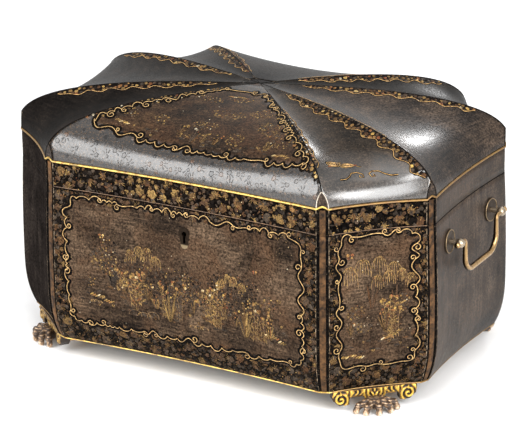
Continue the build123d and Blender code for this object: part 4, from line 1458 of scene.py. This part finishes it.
def facetSprig(drawing):
    # a waved line with two curls, and a small gilt cloud over it
    curls = [(-24, 20), (-19, 20.5), (-15, 23), (-12, 26.5), (-7, 27.5), (-3.5, 25), (-4, 22), (-7, 22),
             (-6.5, 24)]
    drawing.path([(x * mm, y * mm) for x, y in curls])
    drawing.path([((-2 - x) * mm, y * mm) for x, y in curls])
    for size in (1.0, 0.7, 0.4):
        drawing.path(cloudPath(-21 * mm, 37 * mm, 5.5 * mm * size, 2.6 * mm * size))
        drawing.path(cloudPath(-10 * mm, 36 * mm, 4.5 * mm * size, 2.0 * mm * size))
    for x, y, size, angle in ((-16, 39, 7, 0.2), (-14, 34, 8, -0.2), (-5, 36, 7, 0.0), (-25, 34, 6, 0.3),
                              (-2, 34, 5, -0.3)):
        drawing.mark("blade", x * mm, y * mm, size * mm, angle, 0.74)


for name, garden in gardens.items():
    drawGarden(name, garden)
lidBands()
print("gardens and ridge bands made")

# moulded corner posts, beads, ridges and crown
post = {
    "profile": ((0.0, 0.0), (0.07, 0.05), (0.11, 0.65), (0.17, 0.9), (0.22, 0.7), (0.26, 0.4), (0.32, 0.2),
                (0.40, 0.05), (0.50, 0.0), (0.60, 0.05), (0.68, 0.2), (0.74, 0.4), (0.78, 0.7), (0.83, 0.9),
                (0.89, 0.65), (0.93, 0.05), (1.0, 0.0)),
    "beadFrom": 5,
    "beadTo": 11,
    "levels": 26,
}


def postSection(corner, outer, inner, up):
    # the moulded outside from one board to the next, then the two inner corners
    ends = []
    for offset in (outer, inner):
        ends.append([wallPoint(side, offset, arcLimit(side % sideCount, corner, offset), up)
                     for side in (corner - 1, corner)])
    (before, after), (innerBefore, innerAfter) = ends
    inward = -np.append(stripNormal(corner), 0)
    points = [before + (after - before) * share + inward * depth * mm for share, depth in post["profile"]]
    return points + [innerAfter, innerBefore]


def cornerPost(name, corner, ups, offsetAt, inner, body):
    vertices, faces, beads = [], [], []
    ring = len(post["profile"]) + 2
    for up in ups:
        vertices += postSection(corner, offsetAt(up), inner, up)
    for level in range(len(ups) - 1):
        for step in range(ring):
            first, second = level * ring + step, level * ring + (step + 1) % ring
            faces.append((first, second, second + ring, first + ring))
            beads.append(post["beadFrom"] <= step < post["beadTo"])
    faces.append(tuple(range(ring - 1, -1, -1)))
    faces.append(tuple(range((len(ups) - 1) * ring, len(ups) * ring)))
    made = newObject(name, vertices, faces, grooveLacquer)
    made.data.materials.append(stripGold)
    for polygon, gilt in zip(made.data.polygons, beads):
        polygon.material_index = int(gilt)
    made.data.polygons.foreach_set("use_smooth", [True] * len(beads) + [False, False])
    return attach(made, body, "border_lacquer")


def cornerPosts():
    for place, inner, ups, offsetAt, body, kind in (
            ("body", -box["wall"], spaced(wallBottom, seam, post["levels"], 1.3), wallOffset, "case",
             "corner"),
            ("lid", -box["lidWall"], spaced(lidBottom, rimTop, 3), lambda up: 0.0, "lid", "lid")):
        for corner in range(sideCount):
            made = cornerPost(f"{place}_post_{corner}", corner, ups, offsetAt, inner, body)
            if corner == 0:
                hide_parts(f"front_{kind}_posts")
            if corner == 2:
                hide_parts(f"back_{kind}_posts")


bead = {
    "section": ((-1.0, -0.5), (0.0, -0.5), (0.45, -0.44), (0.85, -0.22), (1.0, 0.0), (0.85, 0.22),
                (0.45, 0.44), (0.0, 0.5), (-1.0, 0.5)),
    "peakShape": ((0.06, 0.15), (0.3, 0.7), (0.5, 1.0), (0.7, 0.7), (0.94, 0.15)),
    "rimLand": 0.3 * mm,
    "baseLand": 11 * mm,
    "proud": 0.9 * mm,
    "peak": 2.2 * mm,
    "steps": 30,
}


def sweptBead(name, offset, land, low, height, peak, body, node):
    # a half-round bead round all eight sides, on its land, with a peak over each corner
    stations = []
    for side in range(sideCount):
        first, last = arcLimit(side, side, offset), arcLimit(side, (side + 1) % sideCount, offset)
        for step in range(bead["steps"] + 1):
            across = first + (last - first) * step / bead["steps"]
            stations.append((wallPoint(side, offset, across, 0)[:2], sideNormal(side), 0.0))
        corner = (side + 1) % sideCount
        before = wallPoint(side, offset, last, 0)[:2]
        after = wallPoint(corner, offset, arcLimit(corner, corner, offset), 0)[:2]
        for share, rise in bead["peakShape"]:
            stations.append((before + (after - before) * share, stripNormal(corner), rise * peak))
    vertices, faces = [], []
    middle = low + height / 2
    for flat, outward, rise in stations:
        for out, up in bead["section"]:
            reach = out * (bead["proud"] if out > 0 else land)
            spot = flat + outward * reach
            vertices.append((spot[0], spot[1], middle + up * height + (rise if out >= 0 else 0)))
    ring, count = len(bead["section"]), len(stations)
    for station in range(count):
        following = (station + 1) % count
        for step in range(ring):
            after = (step + 1) % ring
            faces.append((station * ring + step, following * ring + step, following * ring + after,
                          station * ring + after))
    made = newObject(name, vertices, faces, beadGold)
    shadeSmooth(made)
    made.data.set_sharp_from_angle(angle=math.radians(40))
    attach(made, body, "gilt_bead", node)


def ridgePoint(corner, angle, drop=0.0):
    reach, lift = domeShares(angle)
    return np.append(cornerAt(corner) * reach, domeBase + box["domeRise"] * lift - drop)


def ridgeStart(corner):
    # the angle at which the corner's strip meets the ridge
    normal = stripNormal(corner)
    reach = (stripMiddle(corner, 0) @ normal) / (cornerAt(corner) @ normal)
    return math.acos(reach ** (box["domePower"] / 2))


ridge = {
    "radius": 0.55 * mm,
    "steps": 60,
    "sunk": 0.2 * mm,
    "sunkMore": 0.28 * mm,
    "sides": 8,
}


def ridgeLines():
    # the dark line along each ridge, sinking as it nears the crown
    top = np.array((0, 0, domeBase + box["domeRise"] - 0.5 * mm))
    for corner in range(sideCount):
        start = ridgeStart(corner)
        points = []
        for step in range(ridge["steps"] + 1):
            share = step / ridge["steps"]
            angle = start + (crownAngle() - start) * share
            points.append(ridgePoint(corner, angle, ridge["sunk"] + ridge["sunkMore"] * share))
        sweptLines(f"ridge_line_{corner}", [points + [top]], ridge["radius"], ridge["sides"], ridgeLacquer,
                   "lid", "lid_lacquer")


gusset = {
    "proud": 0.05 * mm,
    "thickness": 0.6 * mm,
    "edgeRadius": 0.4 * mm,
    "steps": 8,
    "wornCorner": 1,
}


def cornerGussets():
    # the small upright triangle over each corner post, with its worn edges
    for corner in range(sideCount):
        before, after = surfaces["gore", (corner - 1) % sideCount], surfaces["gore", corner]
        apex = ridgePoint(corner, ridgeStart(corner))
        outward = np.append(stripNormal(corner), 0)
        left, right = [], []
        for (place, limits), end, kept in ((before, 1, left), (after, 0, right)):
            top = brow(limits, place, apex, end)
            for step in range(gusset["steps"] + 1):
                up = top * step / gusset["steps"]
                kept.append(place(limits(up)[end], up))
        left[-1] = right[-1] = apex
        outline = left + right[::-1][1:]
        face = [point + outward * gusset["proud"] for point in outline]
        back = [point - outward * gusset["thickness"] for point in outline]
        count = len(face)
        faces = [tuple(range(count - 1, -1, -1)), tuple(range(count, 2 * count))]
        faces += [(i, (i + 1) % count, count + (i + 1) % count, count + i) for i in range(count)]
        made = newObject(f"corner_gusset_{corner}", face + back, faces, endLidLacquer, False)
        floatAttribute(made, "edge", [1.0] * (2 * count))
        attach(made, "lid", "lid_lacquer")
        finish = wornGesso if corner == gusset["wornCorner"] else ridgeLacquer
        edge = [point - outward * gusset["proud"] for point in outline]
        sweptLines(f"gusset_edge_{corner}", [edge], gusset["edgeRadius"], 8, finish, "lid", "lid_lacquer")


def brow(limits, place, apex, end):
    # how far up the gore its corner cut goes before it meets the ridge
    low, high = 0.0, 60 * mm
    for halving in range(30):
        middle = (low + high) / 2
        if place(limits(middle)[end], middle)[2] < apex[2]:
            low = middle
        else:
            high = middle
    return low


def crown():
    # the eight gores closed over the middle
    angle = crownAngle()
    rim = [ridgePoint(corner, angle, 0.15 * mm) for corner in range(sideCount)]
    thickness = np.array((0, 0, 6 * mm))
    foot = [point - thickness for point in rim]
    top = np.array((0, 0, domeBase + box["domeRise"] - 0.2 * mm))
    vertices = rim + foot + [top, top - thickness]
    middle = 2 * sideCount
    faces = []
    for corner in range(sideCount):
        following = (corner + 1) % sideCount
        faces.append((corner, following, middle))
        faces.append((sideCount + corner, sideCount + following, following, corner))
        faces.append((sideCount + following, sideCount + corner, middle + 1))
    made = newObject("crown", vertices, faces, None, False)
    floatAttribute(made, "edge", [1.0] * len(vertices))
    floatAttribute(made, "inset", [1.0] * len(vertices))
    for finish in goreFinish + (innerLacquer,):
        made.data.materials.append(finish)
    for index, polygon in enumerate(made.data.polygons):
        polygon.material_index = index // 3 if index % 3 < 2 else sideCount
    attach(made, "lid", "lid_lacquer", "crown_piece")


cornerPosts()
sweptBead("rim_bead_moulding", 0.0, box["lidWall"] - bead["rimLand"], rimTop, box["beadRim"],
          bead["peak"], "lid", "rim_bead")
sweptBead("base_bead_moulding", wallOffset(box["footHeight"]), bead["baseLand"], box["footHeight"],
          box["beadBottom"], 0.0, "case", "base_bead")
ridgeLines()
cornerGussets()
crown()
print("posts, beads, ridges and crown made")


# carved aprons and claws
carving = {
    "voxel": 0.55 * mm,
    "clawVoxel": 0.5 * mm,
    "inset": 1 * mm,
    "toeCount": 5,
    "toeSpread": 34.0,
    "toeSide": 18,
    "toeForward": 12,
    "push": 1.15 * mm,
    "wrinkle": 0.16 * mm,
}


def facetFrame(side):
    # the flat under one facet: x along it, y up, z out, from the middle of its lower edge
    offset = wallOffset(box["footHeight"]) - carving["inset"]
    middle = (sharpCorner(side, offset) + sharpCorner(side + 1, offset)) / 2
    origin = np.append(middle, box["footHeight"])
    axes = np.array((np.append(sideDirection(side), 0), (0, 0, 1), np.append(sideNormal(side), 0)))
    return origin, axes


def remesh(made, voxel):
    # one closed skin of even squares over whatever the object holds
    skinned = made.modifiers.new("skin", "REMESH")
    skinned.mode = "VOXEL"
    skinned.voxel_size = voxel
    softened = made.modifiers.new("soften", "SMOOTH")
    softened.factor, softened.iterations = 0.5, 2
    applyModifiers(made)


def apronRelief(x, y):
    # scrolls on the wings, ribs down the stem and a beaded band, in millimetres
    relief = np.zeros_like(x)
    band = np.clip(1 - ((y + 2.4) / 2.3) ** 2, 0, 1)
    relief += 0.75 * band * np.cos(tau * (x + 0.8 * np.sin(x * 0.9)) / 4.6)
    for way in (-1, 1):
        run, fall = x * way - 27.6, y + 7.6
        reach, angle = np.hypot(run, fall), np.arctan2(fall, run)
        relief += 1.25 * np.cos(tau * reach / 3.7 - angle) * np.clip(1.25 - reach / 8.2, 0, 1)
        leaf = np.clip(1 - np.abs(x * way - 14) / 7.5, 0, 1) * np.clip(1 - np.abs(y + 4.5) / 3.2, 0, 1)
        relief += 0.9 * leaf * np.cos(tau * (x * way / 3.8 + y / 4.4))
    stem = np.clip(1.4 - np.abs(x) / 7.5, 0, 1) * np.clip((-y - 2.5) / 2, 0, 1)
    relief += 1.0 * stem * np.cos(tau * (np.abs(x) / 3.6 - y / 9.0))
    return relief


def carveApron(side, finish):
    name = sideNames[side].replace("_facet", "_apron")
    made = weldedCopy(f"{name}_carving", name)
    remesh(made, carving["voxel"])
    origin, axes = facetFrame(side)
    spots, facings = meshPoints(made)
    local = (spots - origin) @ axes.T / mm
    relief = apronRelief(local[:, 0], local[:, 1])
    front = np.clip(facings @ axes[2], 0, 1) ** 0.5
    edge = np.clip((local[:, 2] + 2.5) / 2.5, 0, 1)
    push = (relief - 0.8) * front * edge
    spots += axes[2] * (push * carving["push"])[:, None]
    movePoints(made, spots)
    # the gilt's tone: high carving lighter and deep carving darker, partly rubbed gilt and dust and partly
    # painted light and shade, with faces turned away from the front darker still, a painted shade
    floatAttribute(made, "relief", np.clip(0.52 + 0.55 * relief * front - 0.3 * (1 - front), 0, 1))
    finishCarving(made, finish, name, "giltwood")


def finishCarving(made, finish, node, slot):
    made.data.materials.clear()
    made.data.materials.append(finish)
    shadeSmooth(made)
    attach(made, "case", slot, node)


def clawChain(toe):
    # centres and radii down one toe, in millimetres on the facet's own axes
    angle = math.radians(carving["toeSpread"] * (toe - (carving["toeCount"] - 1) / 2))
    side, forward = carving["toeSide"] * math.sin(angle), carving["toeForward"] * math.cos(angle)
    return [((side * 0.28, -9.6, forward * 0.34), 3.2), ((side * 0.60, -10.4, forward * 0.72), 2.9),
            ((side * 0.86, -11.8, forward * 0.96), 3.1), ((side * 0.96, -13.9, forward), 2.3),
            ((side, -15.8, forward), 2.75)]


def clawFoot(side, finish):
    name = sideNames[side].replace("_facet", "_claw")
    balls = [((0, -8.0, 0.0), 5.8), ((-3.6, -9.4, 1.6), 4.6), ((3.6, -9.4, 1.6), 4.6), ((0, -10.5, 3.6), 5.0),
             ((0, -12.5, 2.0), 5.0), ((-4.5, -12.5, 0.0), 4.6), ((4.5, -12.5, 0.0), 4.6)]
    for toe in range(carving["toeCount"]):
        chain = clawChain(toe)
        for (start, startRadius), (end, endRadius) in zip(chain, chain[1:]):
            for step in range(6):
                share = step / 6
                centre = [a + (b - a) * share for a, b in zip(start, end)]
                balls.append((centre, startRadius + (endRadius - startRadius) * share))
        balls.append(chain[-1])
    origin, axes = facetFrame(side)
    joined = bmesh.new()
    for centre, radius in balls:
        spot = origin + np.array(centre) * mm @ axes
        bmesh.ops.create_icosphere(joined, subdivisions=2, radius=radius * mm,
                                   matrix=Matrix.Translation(Vector(spot)))
    mesh = bpy.data.meshes.new(f"{name}_carving")
    joined.to_mesh(mesh)
    joined.free()
    made = placed(f"{name}_carving", mesh)
    remesh(made, carving["clawVoxel"])
    spots, facings = meshPoints(made)
    local = (spots - origin) @ axes.T / mm
    wrinkle = np.cos(tau * local[:, 1] / 1.9) * np.clip((local[:, 1] + 13.5) / 3, 0, 1)
    spots += facings * (wrinkle * carving["wrinkle"])[:, None]
    local = (spots - origin) @ axes.T / mm
    stem = local[:, 1] > -6.6
    spots[stem, 2] = np.minimum(spots[stem, 2], box["footHeight"] - 6.2 * mm)
    spots[:, 2] = np.maximum(spots[:, 2], 0.0)
    movePoints(made, spots)
    # the claw's tone: lighter towards the lower ends of the toes, and lighter on wrinkle ridges and on ribs
    # that face out, a painted light and shade
    low = np.clip((-local[:, 1] - 12.5) / 4, 0, 1)
    outward = np.clip(facings @ axes[2] * 0.5 + 0.5, 0, 1)
    ribs = 0.5 + 0.5 * np.cos(tau * local[:, 0] / 5.4)
    floatAttribute(made, "relief", np.clip(0.16 + 0.2 * wrinkle + 0.34 * low + 0.3 * outward * ribs, 0, 1))
    finishCarving(made, finish, name, "worn_giltwood")


# the front-right apron in bright gilt, the other three in the darker copy, a painted shade
for side in range(1, sideCount, 2):
    carveApron(side, carvedGold if side == 1 else shadedCarvedGold)
    clawFoot(side, clawGold)
print("aprons and claws carved")


# rims of the handle plates, and the bails
handle = {
    "halfSpacing": 39 * mm,
    "drop": 23.5 * mm,
    "rimRadius": 9.2 * mm,
    "rimWire": 0.5 * mm,
    "rimSteps": 48,
    "rimStand": 1.45 * mm,
    "gripSwell": 0.45 * mm,
    "swellFrom": 9 * mm,
    "swellOver": 14 * mm,
}


def handleRims():
    height = seam - handle["drop"]
    for end in ("left", "right"):
        place = surfaces["body", sideNames.index(end)][0]
        for post, hand in (("near", -1), ("far", 1)):
            across = hand * handle["halfSpacing"]
            along, upward, normal = surfaceAxes(place, across, height, 1 * mm)
            centre = place(across, height) + normal * handle["rimStand"]
            turns = [tau * step / handle["rimSteps"] for step in range(handle["rimSteps"] + 1)]
            points = [centre + (along * math.cos(turn) + upward * math.sin(turn)) * handle["rimRadius"]
                      for turn in turns]
            sweptLines(f"handle_rim_{end}_{post}", [points], handle["rimWire"], 8, rimBrass, "case", "brass")


def bails():
    # each bail a little stouter towards its grip, lighter on faces turned up and out and darker beneath,
    # partly polish and tarnish and partly painted light and shade
    for hand in ("right", "left"):
        made = weldedCopy(f"{hand}_bail_brass", f"{hand}_bail")
        spots, facings = meshPoints(made)
        fall = spots[:, 2].max() - handle["swellFrom"] - spots[:, 2]
        outer = np.abs(spots[:, 0]).max()
        spots += facings * (np.clip(fall / handle["swellOver"], 0, 1) * handle["gripSwell"])[:, None]
        spots[:, 0] = np.clip(spots[:, 0], -outer, outer)
        movePoints(made, spots)
        shadeSmooth(made)
        # faces turned out and up lighter and faces turned in and down darker, a painted light and shade over
        # the polish and tarnish
        outward = facings[:, 0] * np.sign(spots[:, 0])
        floatAttribute(made, "polish_and_light", np.clip(0.42 + 0.5 * outward + 0.2 * facings[:, 2], 0, 1))
        made.data.materials.clear()
        made.data.materials.append(handleBrass)
        attach(made, f"{hand}_bail", "brass", f"{hand}_bail")


handleRims()
bails()
print("handle rims and bails made")


# borders and reserves of the front, its right facet and their gores
def outsideField(key, low, high):
    # where a border may lie: between two heights, in from the edges and outside the reserve
    limits, field, gap = surfaces[key][1], fields.get(key), border["edgeGap"]

    def region(across, up):
        if not low < up < high:
            return False
        left, right = limits(up)
        clear = left + gap < across < right - gap
        return clear and (field is None or fieldDistance(field, across, up) < -0.6 * mm)
    return region


def sideBorders():
    # leaf borders of the walls and of the lid's rim, and a lighter line along the rim's lower edge
    for kind, body, low, high, faint, seed in (
            ("body", "case", wallBottom + border["wallMargin"], seam - border["wallMargin"], 0.84, 11),
            ("rim", "lid", lidBottom + border["rimMargin"], rimTop - border["rimMargin"], 1.0, 31)):
        for side, half in enumerate(border["halfLengths"]):
            key = (kind, side)
            drawing = Drawing(key)
            region = outsideField(key, low, high)
            leafBorder(drawing, (-half, half, low, high), region, seed + 10 * side, faint)
            drawing.layMarks(f"{sideNames[side]}_{kind}_border", body, leafGold, seed + 10 * side)
            if kind == "rim":
                edge = Drawing(key)
                edge.path([(half * (step / 16 - 1), low - border["edgeDrop"]) for step in range(33)])
                edge.layPaths(f"{sideNames[side]}_rim_edge", body, paleRimEdge, border["edgeRadius"], 8,
                              0.2 * mm)


def goreBorder():
    # faint sprays below the front gore's reserve, and richer leaves by its ridges
    area = (-128 * mm, 128 * mm, 3 * mm, 44 * mm)
    drawing = Drawing(("gore", 0))
    faintSprays(drawing, area, outsideField(("gore", 0), *area[2:]), 51)
    drawing.layMarks("front_gore_border", "lid", lidLeaf, 51, 0.2 * mm, 0.1)
    drawing = Drawing(("gore", 0))
    high = surfaces["slope", 0] * 0.88
    richer = (0.5, 0.62, 0.68, 0.74, 0.78, 0.82, 0.87, 0.93)
    ridgeBand(drawing, 0, 10 * mm, 36 * mm, high, 52, richer)
    ridgeBand(drawing, 1, 10 * mm, 16 * mm, high, 53, richer)
    drawing.layMarks("front_gore_ridge_leaves", "lid", leafGold, 52)


def scrollLines():
    for (kind, side), body, seed in ((("body", 0), "case", 61), (("body", 1), "case", 62),
                                     (("gore", 0), "lid", 63)):
        key = (kind, side)
        outer, shade = Drawing(key), Drawing(key)
        scrollLine(outer, shade, fields[key], seed)
        name = f"{sideNames[side]}_{kind}"
        outer.layPaths(f"{name}_scroll", body, scrollGold, 0.36 * mm, rise=0.34 * mm)
        shade.layMarks(f"{name}_scroll_shade", body, leafGold, seed, 0.36 * mm, 0.0)


sideBorders()
goreBorder()
scrollLines()
print("borders and scroll lines made")


# camera, light and floor
view = {
    "azimuth": math.radians(29.014),
    "elevation": math.radians(21.398),
    "roll": -0.0136,
    "distance": 2.2528,
    "target": (0.0, 0.0, 0.0869),
    "focal": 190.6,
    "shift": (-0.01197, 0.02803),
}


def makeCamera():
    azimuth, elevation, roll = view["azimuth"], view["elevation"], view["roll"]
    back = Vector((math.sin(azimuth) * math.cos(elevation), -math.cos(azimuth) * math.cos(elevation),
                   math.sin(elevation)))
    right = Vector((math.cos(azimuth), math.sin(azimuth), 0))
    up = back.cross(right)
    turnedRight = right * math.cos(roll) + up * math.sin(roll)
    turnedUp = back.cross(turnedRight)
    data = bpy.data.cameras.new("camera")
    data.sensor_width = 36.0
    data.lens = view["focal"]
    data.shift_x, data.shift_y = view["shift"]
    data.clip_end = 20.0
    made = placed("camera", data)
    turn = Matrix((turnedRight, turnedUp, back)).transposed().to_4x4()
    made.matrix_world = Matrix.Translation(Vector(view["target"]) + back * view["distance"]) @ turn
    bpy.context.scene.camera = made


# place, height aimed at, width and height, watts, roll in degrees
lamps = {
    "leftBox": ((-0.80, -1.28, 0.80), 0.17, (0.75, 1.30), 27.5, 0.0),
    "rightBox": ((1.22, -0.84, 0.86), 0.18, (0.80, 1.20), 24.0, 0.0),
    "backStrip": ((-0.13, 1.41, 0.80), 0.18, (0.05, 0.5), 4.0, 19.6),
    "facetCard": ((1.42, -0.48, 0.74), 0.18, (0.30, 0.7), 9.0, 0.0),
    "highCard": ((0.45, -0.80, 1.50), 0.18, (0.45, 0.45), 7.0, 0.0),
    "topFill": ((0.0, 0.0, 2.2), 0.1, (1.4, 1.4), 7.0, 0.0),
}


def softbox(name, place, aim, size, power, roll):
    data = bpy.data.lights.new(name, "AREA")
    data.shape = "RECTANGLE"
    data.size, data.size_y = size
    data.energy = power
    made = placed(name, data)
    made.location = place
    facing = (Vector((0, 0, aim)) - Vector(place)).to_track_quat("-Z", "Y").to_matrix()
    made.rotation_euler = (facing @ Matrix.Rotation(math.radians(roll), 3, "Z")).to_euler()


def whiteWorld(strength):
    world = bpy.data.worlds.new("studio")
    bpy.context.scene.world = world
    world.use_nodes = True
    tree = world.node_tree
    seen = addNode(tree, "ShaderNodeLightPath")
    direct = mathNode(tree, "MAXIMUM", seen.outputs["Is Camera Ray"], seen.outputs["Is Transmission Ray"])
    shown = mathNode(tree, "MAXIMUM", direct, seen.outputs["Is Glossy Ray"])
    level = addNode(tree, "ShaderNodeMapRange", {"Value": shown, "To Min": strength, "To Max": 1.0})
    setInputs(tree, tree.nodes["Background"], {"Color": (1, 1, 1, 1), "Strength": level.outputs["Result"]})


def makeFloor():
    size = 6.0
    material, tree, shader = materialNodes("paperFloor")
    fibres = noise(tree, objectPlace(tree), 40.0, 3.0)
    setInputs(tree, shader, {"Base Color": ramp(tree, fibres, [(0.3, 0.88), (0.7, 0.91)]), "Roughness": 0.9,
                             "Specular IOR Level": 0.1})
    floor = newObject("floor", [(-size, -size, 0), (size, -size, 0), (size, size, 0), (-size, size, 0)],
                      [(0, 1, 2, 3)], material, False)


makeCamera()
for name, settings in lamps.items():
    softbox(name, *settings)
whiteWorld(0.64)
makeFloor()
scene = bpy.context.scene
scene.view_settings.view_transform = "Standard"
